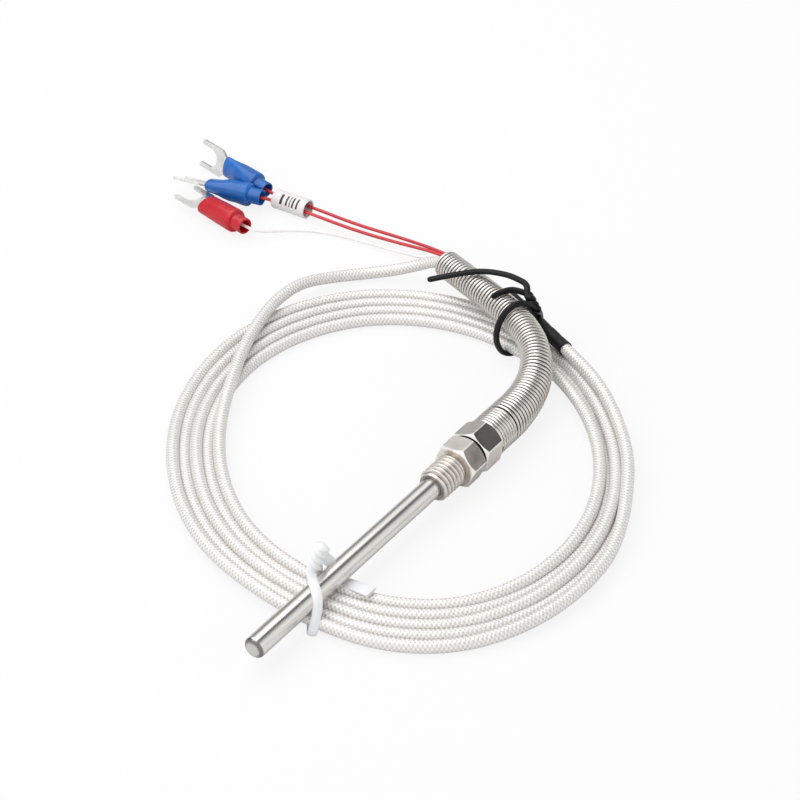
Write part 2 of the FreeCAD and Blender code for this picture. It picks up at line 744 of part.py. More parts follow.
def fork_terminal(name, wire_diameter):
    node = "fork_terminal_" + name
    half = dim("fork_width") / 2
    waist = dim("fork_waist") / 2
    root = dim("fork_root") / 2
    reach = dim("fork_reach")
    plate_start = dim("barrel_end") - dim("fork_thickness")
    slot_centre = reach - dim("fork_slot_depth") + dim("fork_slot") / 2
    body = new_body(node + "_body")
    outline = new_sketch(body, node + "_outline", "XZ_Plane", -dim("fork_thickness") / 2)
    shoulder = dim("boot_length") + half / 2
    draw_polygon(outline, [
        (root, plate_start), (waist, dim("boot_length")), (half, shoulder), (half, reach),
        (-half, reach), (-half, shoulder), (-waist, dim("boot_length")), (-root, plate_start)])
    pad(body, node + "_plate", outline, dim("fork_thickness"))
    mouth = new_sketch(body, node + "_mouth", "XZ_Plane", -dim("fork_thickness") / 2 - END_MARGIN)
    slot = dim("fork_slot") / 2
    draw_polygon(mouth, [(slot, slot_centre), (slot, reach + END_MARGIN),
                         (-slot, reach + END_MARGIN), (-slot, slot_centre)])
    cut_depth = dim("fork_thickness") + END_MARGIN * 2
    pocket = pad(body, node + "_slot", mouth, cut_depth, "PartDesign::Pocket")
    pocket.Reversed = True
    crotch = new_sketch(body, node + "_crotch", "XZ_Plane", -dim("fork_thickness") / 2 - END_MARGIN)
    draw_circle(crotch, 0, slot_centre, slot)
    round_pocket = pad(body, node + "_round", crotch, cut_depth, "PartDesign::Pocket")
    round_pocket.Reversed = True
    doc.recompute()
    thickness = dim("fork_thickness").value
    fillet(body, node + "_tips", round_pocket, dim("fork_edge"),
           lambda edge: (edge.BoundBox.ZMin > reach.value - CLOSE
                         and abs(edge.BoundBox.YLength - thickness) < CLOSE
                         and edge.BoundBox.XLength < CLOSE))
    wire_bore = wire_diameter / 2 + dim("barrel_play")
    barrel = dim("barrel_diameter") / 2
    revolve(body, node + "_barrel", [[(wire_bore, dim("barrel_start")), (barrel, dim("barrel_start")),
                                      (barrel, dim("barrel_end")), (wire_bore, dim("barrel_end"))]])
    body.Placement = terminal_place(name)
    return keep(body, node)


def oval_section(name, half_width, half_height, height):
    oval = doc.addObject("Part::Ellipse", name)
    bind(oval, "MajorRadius", half_width)
    bind(oval, "MinorRadius", half_height)
    bind(oval, "Placement.Base.z", height)
    return oval


def round_to_oval(name, radius, start, half_width, half_height, end):
    """Loft from a round section to the flattened one."""
    first = doc.addObject("Part::Circle", name + "_round")
    bind(first, "Radius", radius)
    bind(first, "Placement.Base.z", start)
    loft = doc.addObject("Part::Loft", name)
    loft.Sections = [first, oval_section(name + "_oval", half_width, half_height, end)]
    loft.Solid = True
    loft.Ruled = True
    return loft


def boot(name):
    node = "boot_" + name
    neck = ring(node + "_neck", as_size(0), dim("boot_neck_diameter") / 2, as_size(0),
                dim("boot_neck_length") + dim("boot_shoulder"))
    shoulder = new_body(node + "_body")
    revolve(shoulder, node + "_turn", [[
        (0, dim("boot_neck_length")), (dim("boot_neck_diameter") / 2, dim("boot_neck_length")),
        (dim("boot_diameter") / 2, dim("boot_neck_length") + dim("boot_shoulder")),
        (dim("boot_diameter") / 2, dim("boot_body_end")), (0, dim("boot_body_end"))]])
    bill = round_to_oval(node + "_bill", dim("boot_diameter") / 2, dim("boot_body_end"),
                         dim("boot_mouth_width") / 2, dim("boot_mouth_height") / 2, dim("boot_length"))
    bore = cylinder(node + "_bore", dim("boot_bore") / 2, -as_size(END_MARGIN), dim("boot_body_end"))
    slit = round_to_oval(node + "_slit", dim("boot_bore") / 2, dim("boot_body_end"),
                         dim("boot_slit_width") / 2, dim("boot_slit_height") / 2, dim("boot_length"))
    outside = fuse(node + "_outside", [neck, shoulder, bill])
    hollow = cut(node + "_hollow", outside, fuse(node + "_inside", [bore, slit]))
    hollow.Placement = terminal_place(name)
    return keep(hollow, node)


for terminal, wire in (("blue_far", "red_wire_diameter"), ("blue_near", "red_wire_diameter"),
                       ("red", "white_wire_diameter")):
    fork_terminal(terminal, dim(wire))
    boot(terminal)


# Ties

TWIST_STEPS = 6


def twisted_bar(start, end, width, thickness, turns):
    """Flat bar twisted about the line from start to end."""
    steps = int(math.ceil(turns * TWIST_STEPS))
    sections = []
    for index in range(steps + 1):
        share = index / steps
        place = frame_along(start + (end - start) * share, end - start, 2 * math.pi * turns * share)
        corners = [place.multVec(Vector(x * width / 2, y * thickness / 2, 0))
                   for x, y in ((1, 1), (-1, 1), (-1, -1), (1, -1), (1, 1))]
        sections.append(Part.makePolygon(corners))
    return Part.makeLoft(sections, True, True)


STRIP_LOOP = [(-61.5, 0.0), (-61.2, 4.4), (-56.2, 9.5), (-47.2, 9.9), (-43.7, 7.6), (-41.3, 3.6), (-41.2, 0.0)]
STEM_START = Vector(-22.7, -44.4, 6.0)
STEM_END = Vector(-21.2, -46.5, 15.0)
STRIP_TAIL_START = Vector(-21.2, -42.7, 1.2)
STRIP_TAIL_HEADING = -28.0

strip = new_body("strip_body")
strip_outline = new_sketch(strip, "strip_outline", "YZ_Plane", as_size(STRIP_PLANE) - dim("strip_width") / 2)
draw_polygon(strip_outline, STRIP_LOOP)
strip_pad = pad(strip, "strip_pad", strip_outline, dim("strip_width"))
strip_round = fillet(strip, "strip_round", strip_pad, dim("strip_corner"),
                     lambda edge: edge.BoundBox.XLength > dim("strip_width").value / 2)
strip_hollow = strip.newObject("PartDesign::Thickness", "strip_hollow")
side_faces = ["Face%d" % (index + 1) for index, face in enumerate(strip_round.Shape.Faces)
              if face.BoundBox.XLength < CLOSE]
strip_hollow.Base = (strip_round, side_faces)
bind(strip_hollow, "Value", dim("strip_thickness"))
strip_hollow.Reversed = True
doc.recompute()

stem = plain_feature("strip_stem", twisted_bar(STEM_START, STEM_END, dim("stem_width").value,
                                               dim("strip_width").value, dim("stem_turns").value))
tail_turn = Rotation(UP, STRIP_TAIL_HEADING)
strip_tail = block("strip_tail_piece", dim("strip_tail"), dim("strip_width"), dim("strip_thickness"),
                   Placement(STRIP_TAIL_START, tail_turn))
keep(fuse("white_tie_union", [strip, stem, strip_tail]), "white_tie")


# From the knot over the spring, down beside it, along the floor, and up behind the sleeve to the knot
TIE_LOOP = [(28.6, 43.7, 12.9), (27.2, 43.0, 14.2), (25.4, 42.1, 15.2), (23.0, 40.8, 15.2), (21.3, 40.0, 13.6),
            (19.9, 39.3, 10.9), (19.3, 39.0, 7.5), (20.0, 39.3, 4.0), (21.7, 40.2, 1.6), (24.4, 41.4, 0.8),
            (33.4, 44.5, 0.8), (35.7, 45.5, 2.6), (34.7, 46.3, 5.6), (32.9, 46.8, 8.4), (31.0, 45.9, 10.8),
            (29.4, 44.0, 12.0)]
KNOT_START = Vector(29.5, 43.7, 11.5)
KNOT_END = Vector(27.5, 46.1, 14.5)
LONG_TAIL = [(28.2, 45.1, 13.4), (27.3, 49.5, 15.5), (25.2, 51.6, 15.6), (22.2, 54.2, 15.4), (16.2, 56.7, 14.8),
             (9.5, 55.9, 14.2), (2.7, 55.2, 13.0)]
SHORT_TAIL = [(28.6, 44.9, 13.2), (26.4, 47.3, 14.6), (23.5, 48.3, 15.0), (20.7, 47.5, 15.0),
              (19.0, 46.7, 14.4)]

tie_diameter = dim("tie_diameter").value
tie_loop = plain_feature("tie_loop", cord_shape(TIE_LOOP, tie_diameter, "black_tie loop"))
tie_long = plain_feature("tie_long_tail", cord_shape(LONG_TAIL, tie_diameter, "black_tie long tail"))
tie_short = plain_feature("tie_short_tail", cord_shape(SHORT_TAIL, tie_diameter, "black_tie short tail"))
knot = plain_feature("tie_knot", twisted_bar(KNOT_START, KNOT_END, dim("knot_width").value,
                                             dim("knot_thickness").value, dim("knot_turns").value))
keep(fuse("black_tie_union", [tie_loop, tie_long, tie_short, knot]), "black_tie")


# Check and write every sub-part

doc.recompute()
for item in doc.Objects:
    if "Invalid" in item.State or "Error" in item.State:
        raise RuntimeError("%s: %s" % (item.Name, item.State))
os.makedirs("parts", exist_ok=True)
for target in nodes:
    shape = target.Shape
    if shape.isNull() or not shape.isValid() or len(shape.Solids) != 1:
        raise RuntimeError("%s: shape not a single valid solid (%d)" % (target.Label, len(shape.Solids)))
    shape.exportStep("parts/%s.step" % target.Label)
print("%d sub-parts written" % len(nodes))
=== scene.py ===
import math

import bmesh
import bpy
import numpy as np
from mathutils import Matrix, Vector


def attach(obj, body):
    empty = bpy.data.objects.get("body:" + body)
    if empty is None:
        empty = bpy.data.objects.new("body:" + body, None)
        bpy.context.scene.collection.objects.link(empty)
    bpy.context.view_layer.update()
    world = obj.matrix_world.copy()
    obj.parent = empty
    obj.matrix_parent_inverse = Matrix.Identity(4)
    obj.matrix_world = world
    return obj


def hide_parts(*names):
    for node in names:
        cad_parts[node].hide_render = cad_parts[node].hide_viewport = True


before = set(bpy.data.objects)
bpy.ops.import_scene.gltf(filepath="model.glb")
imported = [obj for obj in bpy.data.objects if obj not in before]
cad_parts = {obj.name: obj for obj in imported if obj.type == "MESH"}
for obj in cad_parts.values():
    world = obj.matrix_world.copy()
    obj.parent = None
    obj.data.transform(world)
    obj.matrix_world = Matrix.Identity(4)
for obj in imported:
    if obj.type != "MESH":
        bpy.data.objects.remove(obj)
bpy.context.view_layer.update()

# Sizes are in millimetres, in the CAD frame; meshes are written in metres.
MM = 0.001
UP = np.array([0.0, 0.0, 1.0])
FULL_TURN = 2.0 * math.pi


def level_axes(heading):
    """Level direction of a heading, and the direction to its right."""
    return (np.array([math.cos(heading), math.sin(heading), 0.0]),
            np.array([math.sin(heading), -math.cos(heading), 0.0]))


# Places that the CAD source gives: the probe's axis, its stations, the spring's line and the routes
PROBE_TIP = np.array([-34.60, -69.18, 5.85])
PROBE_HEADING = math.radians(54.28)
PROBE_AXIS, PROBE_RIGHT = level_axes(PROBE_HEADING)
GLAND_START = 64.4
GLAND_ROLL = 9.6
NUT_START = 79.4
NUT_ROLL = 24.6
SPRING_START = 85.8
STUB_END = 94.8
CORE_END = 72.0
SPRING_LEAD = 9.6

CABLE_DIAMETER = 3.0
SPRING_BEND = [(29.49, 28.5, 9.18), (25.51, 41.32, 10.17), (17.22, 53.73, 10.07), (7.56, 68.45, 9.0)]
IN_SPRING = [(25.5, 15.3, 6.3), (28.7, 28.5, 8.9), (25.1, 41.4, 10.1), (17.5, 53.4, 10.0), (11.0, 63.3, 9.4)]
LEAD_OUT = [(7.56, 68.45, 8.7), (4.9, 71.9, 7.4), (0.6, 73.6, 5.0), (-5.0, 74.5, 2.9), (-12.3, 74.6, 1.8),
            (-21.3, 72.2, 2.3), (-29.8, 66.4, 4.4), (-36.0, 57.0, 4.9), (-40.0, 46.6, 4.9),
            (-42.8, 35.8, 4.9), (-44.4, 25.6, 4.7)]
LEAD_IN = [(48.3, -9.6, 5.0), (47.5, 3.3, 5.9), (44.8, 15.9, 6.6), (41.2, 25.0, 7.1), (36.1, 33.9, 7.3)]

SHRINK_AXIS, SHRINK_SIDE = level_axes(math.radians(119.5))
SHRINK_START = np.array(LEAD_IN[-1])
SHRINK_LENGTH = 25.0
SHRINK_GRIP = 13.5
WIRE_STRAIGHT = 4.0
CABLE_END = SHRINK_START + SHRINK_AXIS * SHRINK_GRIP
SHRINK_END = SHRINK_START + SHRINK_AXIS * SHRINK_LENGTH

MARKER_START = np.array([-28.8, 104.1, 2.5])
MARKER_AXIS, MARKER_SIDE = level_axes(math.radians(148.0))
MARKER_LENGTH = 10.4
MARKER_EXIT = 0.6

# Neck end of each boot, heading and pitch from neck to fork, and roll of the fork
TERMINALS = {
    "blue_far": ((-40.2, 112.5, 3.2), 137.0, 3.5, 78.0),
    "blue_near": ((-41.2, 107.3, 4.1), 154.7, -1.0, -30.0),
    "red": ((-45.1, 93.9, 3.6), 132.8, -2.0, -2.0),
}
WIRE_APPROACH = {"blue_far": 1.5, "blue_near": 0.3, "red": 2.0}
WIRE_DEPTH = 8.0


def unit(vector):
    vector = np.asarray(vector, float)
    return vector / np.linalg.norm(vector)


def sides_of(axis):
    """Level direction across an axis, and the direction square to both."""
    across = unit(np.cross(axis, UP))
    return across, np.cross(across, axis)


def station(distance):
    """Point on the probe's axis at a distance from the tip."""
    return PROBE_TIP + PROBE_AXIS * distance


def ease(share):
    """Smooth step from 0 to 1."""
    share = min(max(share, 0.0), 1.0)
    return share * share * (3.0 - 2.0 * share)


def along_line(line):
    """Distance of each point of a line from its start."""
    line = np.asarray(line, float)
    return np.concatenate([[0.0], np.cumsum(np.linalg.norm(np.diff(line, axis=0), axis=1))])


def evenly(line, count):
    """The same line with evenly spaced points."""
    line = np.asarray(line, float)
    place = along_line(line)
    wanted = np.linspace(0.0, place[-1], count)
    return np.stack([np.interp(wanted, place, line[:, axis]) for axis in range(3)], axis=1)


def frames_along(line):
    """Direction, side and rise at each point of a line, carried along it without twist."""
    line = np.asarray(line, float)
    ahead = np.gradient(line, axis=0)
    ahead /= np.linalg.norm(ahead, axis=1)[:, None]
    side = np.cross(ahead[0], UP)
    sides = []
    for direction in ahead:
        side = unit(side - direction * np.dot(side, direction))
        sides.append(side)
    sides = np.array(sides)
    return ahead, sides, np.cross(sides, ahead)


def add_object(name, data):
    made = bpy.data.objects.new(name, data)
    bpy.context.scene.collection.objects.link(made)
    return made


def smooth(mesh, sharp_degrees):
    mesh.polygons.foreach_set("use_smooth", [True] * len(mesh.polygons))
    mesh.set_sharp_from_angle(angle=math.radians(sharp_degrees))


def skin(name, rings, finish, sharp_degrees=40.0, looped=False):
    """Closed mesh over rings of points; a looped one joins its last ring to its first.

    The UV map holds millimetres along the rings and turns round them.
    """
    rings = np.asarray(rings, float)
    rows, around = rings.shape[:2]
    points = rings.reshape(-1, 3)
    row = np.arange(rows if looped else rows - 1)[:, None]
    column = np.arange(around)[None, :]
    beside = (column + 1) % around
    below = (row + 1) % rows
    quads = np.stack([row * around + column, row * around + beside, below * around + beside,
                      below * around + column], axis=-1).reshape(-1, 4)
    length = along_line(rings.mean(axis=1))
    length = np.append(length, length[-1])
    first = np.broadcast_to(length[row], (len(row), around))
    last = np.broadcast_to(length[row + 1], (len(row), around))
    left = np.broadcast_to(column / around, (len(row), around))
    right = np.broadcast_to((column + 1) / around, (len(row), around))
    flat = np.stack([np.stack([first, left], -1), np.stack([first, right], -1), np.stack([last, right], -1),
                     np.stack([last, left], -1)], axis=2).reshape(-1, 4, 2)
    corner = points[quads]
    volume = np.einsum("ij,ij->i", corner[:, 0], np.cross(corner[:, 1], corner[:, 2])).sum()
    volume += np.einsum("ij,ij->i", corner[:, 0], np.cross(corner[:, 2], corner[:, 3])).sum()
    faces = quads.tolist()
    ends = []
    if not looped:
        ends = [list(range(around))[::-1], [(rows - 1) * around + index for index in range(around)]]
    if volume < 0.0:
        faces = [face[::-1] for face in faces]
        flat = flat[:, ::-1]
        ends = [face[::-1] for face in ends]
    mesh = bpy.data.meshes.new(name)
    mesh.from_pydata((points * MM).tolist(), [], faces + ends)
    sheet = mesh.uv_layers.new(name="skin")
    caps = np.zeros((around * len(ends), 2))
    sheet.data.foreach_set("uv", np.concatenate([flat.reshape(-1, 2), caps]).astype(np.float32).ravel())
    smooth(mesh, sharp_degrees)
    mesh.materials.append(finish)
    return add_object(name, mesh)


def joined(name, pieces):
    """One object from several, with their meshes kept as they lie."""
    with bpy.context.temp_override(active_object=pieces[0], selected_editable_objects=pieces):
        bpy.ops.object.join()
    pieces[0].name = name
    pieces[0].data.name = name
    return pieces[0]


def route_curve(name, points, cyclic=False):
    """NURBS spline whose control points are a route's points."""
    curve = bpy.data.curves.new(name, "CURVE")
    curve.dimensions = "3D"
    curve.resolution_u = 32
    spline = curve.splines.new("NURBS")
    spline.points.add(len(points) - 1)
    for place, point in zip(spline.points, points):
        place.co = (point[0] * MM, point[1] * MM, point[2] * MM, 1.0)
    spline.order_u = 3
    spline.use_endpoint_u = not cyclic
    spline.use_cyclic_u = cyclic
    return curve


def read_route(name, points, cyclic=False):
    """Points along the smooth line that a route's NURBS spline gives, in millimetres."""
    curve = route_curve(name, points, cyclic)
    bare = bpy.data.objects.new(name, curve)
    mesh = bpy.data.meshes.new_from_object(bare)
    line = np.array([vertex.co for vertex in mesh.vertices]) / MM
    bpy.data.meshes.remove(mesh)
    bpy.data.objects.remove(bare)
    bpy.data.curves.remove(curve)
    return np.concatenate([line, line[:1]]) if cyclic else line


# Node trees

class Nodes:
    """Short ways to add and wire nodes in one tree."""

    def __init__(self, tree):
        self.tree = tree

    def put(self, socket, value):
        if isinstance(value, bpy.types.NodeSocket):
            self.tree.links.new(value, socket)
        else:
            socket.default_value = value

    def add(self, kind, inputs=None, **settings):
        node = self.tree.nodes.new(kind)
        for key, value in settings.items():
            setattr(node, key, value)
        for key, value in (inputs or {}).items():
            self.put(node.inputs[key], value)
        return node

    def math(self, operation, *values):
        return self.add("ShaderNodeMath", dict(enumerate(values)), operation=operation).outputs[0]

    def times(self, first, second):
        return self.math("MULTIPLY", first, second)

    def plus(self, first, second):
        return self.math("ADD", first, second)

    def minus(self, first, second):
        return self.math("SUBTRACT", first, second)

    def ramp(self, value, low, high, start=0.0, end=1.0, shape="LINEAR"):
        """A value from low to high carried over to start to end, and held at either."""
        sockets = {"Value": value, "From Min": low, "From Max": high, "To Min": start, "To Max": end}
        return self.add("ShaderNodeMapRange", sockets, interpolation_type=shape).outputs[0]

    def vector(self, operation, *values):
        return self.add("ShaderNodeVectorMath", dict(enumerate(values)), operation=operation).outputs[0]

    def dot(self, vector, constant):
        node = self.add("ShaderNodeVectorMath", {0: vector, 1: tuple(constant)}, operation="DOT_PRODUCT")
        return node.outputs["Value"]

    def shades(self, value, *stops):
        """Colour that follows a value through stops of place and colour."""
        ramp = self.add("ShaderNodeValToRGB", {0: value})
        band = ramp.color_ramp.elements
        while len(band) < len(stops):
            band.new(0.5)
        for element, (place, colour) in zip(band, stops):
            element.position = place
            element.color = (*colour, 1.0)
        return ramp.outputs[0]


class Finish(Nodes):
    """One procedural material, with constant values set on its shader's own sockets."""

    def __init__(self, name, sockets):
        self.material = bpy.data.materials.new(name)
        self.material.use_nodes = True
        super().__init__(self.material.node_tree)
        self.shader = self.tree.nodes["Principled BSDF"]
        for key, value in sockets.items():
            self.shader.inputs[key].default_value = value

    def spots(self, size, heading=0.0, detail=4.0):
        """Cloudy value whose grain has a size in millimetres along a heading, across it and up."""
        place = self.add("ShaderNodeTexCoord").outputs["Object"]
        turned = self.add("ShaderNodeMapping", {"Vector": place, "Rotation": (0.0, 0.0, heading),
                                                "Scale": [number * MM for number in size]},
                          vector_type="TEXTURE")
        return self.add("ShaderNodeTexNoise", {"Vector": turned.outputs[0], "Scale": 1.0,
                                               "Detail": detail}).outputs["Fac"]

    def skin_place(self):
        """Millimetres along the piece and turns round it, from its UV map."""
        place = self.add("ShaderNodeUVMap", uv_map="skin").outputs[0]
        split = self.add("ShaderNodeSeparateXYZ", {0: place})
        return split.outputs[0], split.outputs[1]

    def spread(self, value, low, high):
        """A value from 0 to 1 spread over a range."""
        return self.ramp(value, 0.0, 1.0, low, high)

    def between(self, value, low, high):
        """1 where a value lies between two limits, or else 0."""
        return self.times(self.math("GREATER_THAN", value, low), self.math("LESS_THAN", value, high))

    def colour(self, value, *stops):
        self.put(self.shader.inputs["Base Color"], self.shades(value, *stops))

    def rough(self, value, low, high):
        self.put(self.shader.inputs["Roughness"], self.spread(value, low, high))

    def bump(self, height, depth, strength=1.0):
        """Relief of a depth in millimetres."""
        relief = self.add("ShaderNodeBump", {"Height": height, "Distance": depth * MM, "Strength": strength})
        self.put(self.shader.inputs["Normal"], relief.outputs[0])


def brushed_steel():
    """Sheath: drawn tube with fine lines along it, and painted shade on the rounded rim of its tip."""
    steel = Finish("brushed_sheath_steel", {"Metallic": 1.0})
    lines = steel.spots((9.0, 0.16, 0.16), PROBE_HEADING)
    cloud = steel.spots((14.0, 5.0, 5.0), PROBE_HEADING, 2.0)
    mixed = steel.plus(steel.times(lines, 0.65), steel.times(cloud, 0.35))
    own_place = steel.add("ShaderNodeTexCoord").outputs["Object"]
    place = steel.vector("SUBTRACT", own_place, tuple(PROBE_TIP * MM))
    from_tip = steel.math("DIVIDE", steel.dot(place, PROBE_AXIS), MM)
    # Painted shade: near the tip the colour darkens, most on its rounded rim and less at the middle of its
    # end face
    drawn = steel.ramp(from_tip, 0.5, 1.1, shape="SMOOTHSTEP")
    across = steel.vector("CROSS_PRODUCT", place, tuple(PROBE_AXIS))
    reach = steel.add("ShaderNodeVectorMath", {0: across}, operation="LENGTH").outputs["Value"]
    from_axis = steel.math("DIVIDE", reach, MM)
    rim = steel.ramp(from_axis, 1.3, 2.1, 0.60, 0.10, "SMOOTHSTEP")
    bare = steel.times(mixed, steel.math("MAXIMUM", drawn, rim))
    steel.colour(bare, (0.0, (0.12, 0.11, 0.11)), (0.3, (0.66, 0.64, 0.61)), (0.75, (0.85, 0.83, 0.80)))
    steel.rough(lines, 0.17, 0.30)
    steel.bump(lines, 0.004, 0.5)
    return steel.material


def plated_fitting():
    """Hexagons and thread: bright plating with small pits, with painted shade, painted reflections and
    painted highlights by each face's own amount.
    """
    plate = Finish("plated_fitting_steel", {"Metallic": 1.0})
    cloud = plate.spots((3.0, 3.0, 3.0), 0.0, 3.0)
    pits = plate.spots((0.22, 0.22, 0.22), 0.0, 2.0)
    mixed = plate.plus(plate.times(cloud, 0.7), plate.times(pits, 0.3))
    # Painted light and shade: each face's amount darkens the plating, and a value below 0 brightens it
    dull = plate.add("ShaderNodeAttribute", attribute_name="dull").outputs["Fac"]
    plate.colour(plate.times(mixed, plate.minus(1.0, dull)),
                 (0.0, (0.05, 0.046, 0.043)), (0.3, (0.71, 0.66, 0.61)), (0.6, (0.86, 0.81, 0.76)),
                 (0.85, (0.98, 0.96, 0.93)))
    plate.rough(pits, 0.25, 0.40)
    plate.bump(pits, 0.012, 0.6)
    return plate.material


def spring_wire_steel():
    """Spring wire: smooth and bright, with painted shade towards the inside of the turns, where they meet."""
    wire = Finish("bright_spring_wire", {"Metallic": 1.0})
    cloud = wire.spots((2.2, 2.2, 2.2), 0.0, 3.0)
    scratches = wire.spots((0.12, 0.5, 0.12), PROBE_HEADING, 2.0)
    outness = wire.add("ShaderNodeAttribute", attribute_name="outness").outputs["Fac"]
    # Painted shade between turns: the colour darkens where the wire faces inward
    shade = wire.plus(outness, wire.spread(cloud, -0.12, 0.12))
    wire.colour(shade, (0.0, (0.10, 0.095, 0.088)), (0.45, (0.44, 0.415, 0.39)), (0.80, (0.72, 0.69, 0.655)))
    wire.rough(scratches, 0.22, 0.36)
    wire.bump(scratches, 0.004, 0.4)
    return wire.material


BRAID_PITCH = 0.96
BRAID_ROWS = 6


def cable_braid():
    """Silver braid under a thin clear jacket: staggered yarn crossings round the cable, with painted shade in
    the low places between them.
    """
    braid = Finish("clear_jacket_over_braid", {"Metallic": 0.35, "Coat Weight": 0.2, "Coat Roughness": 0.2,
                                               "Roughness": 0.42})
    length, turn = braid.skin_place()
    along = braid.times(length, FULL_TURN / BRAID_PITCH)
    around = braid.times(turn, FULL_TURN * BRAID_ROWS)
    crossing = braid.times(braid.math("COSINE", along), braid.math("COSINE", around))
    slant = braid.math("SINE", braid.times(braid.plus(along, around), 3.0))
    other = braid.math("SINE", braid.times(braid.minus(along, around), 3.0))
    over = braid.math("GREATER_THAN", crossing, 0.0)
    strands = braid.plus(braid.times(slant, over), braid.times(other, braid.minus(1.0, over)))
    cloud = braid.spots((6.0, 6.0, 6.0), 0.0, 3.0)
    # The colour follows the relief: the yarns' own pattern, with painted shade where the braid lies low
    filled = braid.ramp(crossing, -0.75, 0.65)
    height = braid.plus(braid.times(filled, 0.8), braid.times(strands, 0.06))
    shade = braid.plus(height, braid.spread(cloud, -0.08, 0.08))
    braid.colour(shade, (0.05, (0.62, 0.60, 0.575)), (0.4, (0.755, 0.735, 0.71)),
                 (0.72, (0.89, 0.875, 0.855)))
    braid.bump(height, 0.12, 0.8)
    return braid.material


def soft_plastic(name, dark, light, roughness, grain=0.5, extra=None):
    """Moulded or drawn plastic: slight clouds in its colour and a fine grain."""
    plastic = Finish(name, extra or {})
    cloud = plastic.spots((4.0, 4.0, 4.0), 0.0, 3.0)
    fine = plastic.spots((grain, grain, grain), 0.0, 2.0)
    plastic.colour(cloud, (0.3, dark), (0.7, light))
    plastic.rough(fine, roughness - 0.07, roughness + 0.07)
    plastic.bump(fine, 0.02, 0.35)
    return plastic.material


def tinned_copper():
    """Fork terminals: pale tin over stamped copper."""
    tin = Finish("tinned_fork", {"Metallic": 1.0})
    cloud = tin.spots((2.0, 2.0, 2.0), 0.0, 3.0)
    grain = tin.spots((0.15, 0.15, 0.15), 0.0, 2.0)
    tin.colour(cloud, (0.3, (0.70, 0.695, 0.69)), (0.7, (0.84, 0.835, 0.83)))
    tin.rough(grain, 0.22, 0.42)
    tin.bump(grain, 0.01, 0.5)
    return tin.material


# Start and width of each bar along the sleeve in millimetres, and where they run round it in turns
MARKER_BARS = [(2.0, 0.55), (3.3, 0.55), (4.4, 0.3), (5.3, 0.55), (6.9, 0.8)]
MARKER_BAR_TURNS = (0.28, 0.46)


def marker_plastic():
    """White marker sleeve with plain dark code bars round part of it."""
    sleeve = Finish("white_marker_sleeve", {"Roughness": 0.45, "Subsurface Weight": 0.1,
                                            "Subsurface Radius": (0.0006, 0.0005, 0.0004)})
    length, turn = sleeve.skin_place()
    cloud = sleeve.spots((3.0, 3.0, 3.0), 0.0, 3.0)
    ink = None
    for start, width in MARKER_BARS:
        inside = sleeve.between(length, start, start + width)
        ink = inside if ink is None else sleeve.plus(ink, inside)
    ink = sleeve.times(ink, sleeve.between(turn, *MARKER_BAR_TURNS))
    shade = sleeve.minus(sleeve.spread(cloud, 0.55, 0.95), sleeve.times(ink, 0.9))
    sleeve.colour(shade, (0.0, (0.03, 0.03, 0.04)), (0.3, (0.05, 0.05, 0.06)), (0.55, (0.70, 0.675, 0.675)),
                  (0.95, (0.78, 0.76, 0.755)))
    sleeve.bump(cloud, 0.03, 0.4)
    return sleeve.material


SHEATH_STEEL = brushed_steel()
FITTING_STEEL = plated_fitting()
SPRING_STEEL = spring_wire_steel()
CABLE_BRAID = cable_braid()
MARKER_WHITE = marker_plastic()
TIN = tinned_copper()
BOOT_BLUE = soft_plastic("blue_boot_vinyl", (0.004, 0.088, 0.36), (0.007, 0.135, 0.48), 0.22,
                         1.6, {"Specular IOR Level": 0.45})
BOOT_RED = soft_plastic("red_boot_vinyl", (0.43, 0.003, 0.012), (0.55, 0.006, 0.018), 0.22,
                        1.6, {"Specular IOR Level": 0.45})
WIRE_RED = soft_plastic("red_wire_sleeve", (0.52, 0.02, 0.035), (0.64, 0.04, 0.05), 0.34)
WIRE_WHITE = soft_plastic("white_wire_sleeve", (0.78, 0.77, 0.77), (0.90, 0.89, 0.88), 0.34)
SHRINK_BLACK = soft_plastic("black_heat_shrink", (0.004, 0.004, 0.0045), (0.009, 0.009, 0.0095), 0.46,
                            extra={"Specular IOR Level": 0.22})
TIE_BLACK = soft_plastic("black_tie_plastic", (0.004, 0.004, 0.0045), (0.009, 0.009, 0.0095), 0.36,
                         extra={"Specular IOR Level": 0.2})
TIE_WHITE = soft_plastic("white_tie_plastic", (0.75, 0.76, 0.78), (0.84, 0.845, 0.865), 0.36)


# Camera, floor and light

# Places of the camera, the lamp and the floor in metres
CAMERA_LENS = 100.0
CAMERA_PLACE = (-0.0041, -0.40134, 0.32569)
CAMERA_AIM = (-0.0041, 0.0231, 0.0)
LAMP_PLACE = (-0.22, 0.10, 0.62)
LAMP_AIM = (0.0, 0.02, 0.0)
LAMP_SIZE = (0.9, 0.7)
LAMP_POWER = 3.2
FLOOR_REACH = 3.0
FLOOR_LEVEL = -0.00005
FLOOR_TONE = 0.74
FLOOR_GLOW = 0.85


def set_facing(piece, place, aim):
    """Put a camera or a lamp at a place and turn it to a point."""
    piece.location = place
    piece.rotation_euler = (Vector(aim) - piece.location).to_track_quat("-Z", "Y").to_euler()


def photo_camera():
    lens = bpy.data.cameras.new("photo_camera")
    lens.lens = CAMERA_LENS
    lens.sensor_width = 36.0
    lens.clip_start = 0.02
    lens.clip_end = 10.0
    camera = add_object("photo_camera", lens)
    set_facing(camera, CAMERA_PLACE, CAMERA_AIM)
    bpy.context.scene.camera = camera


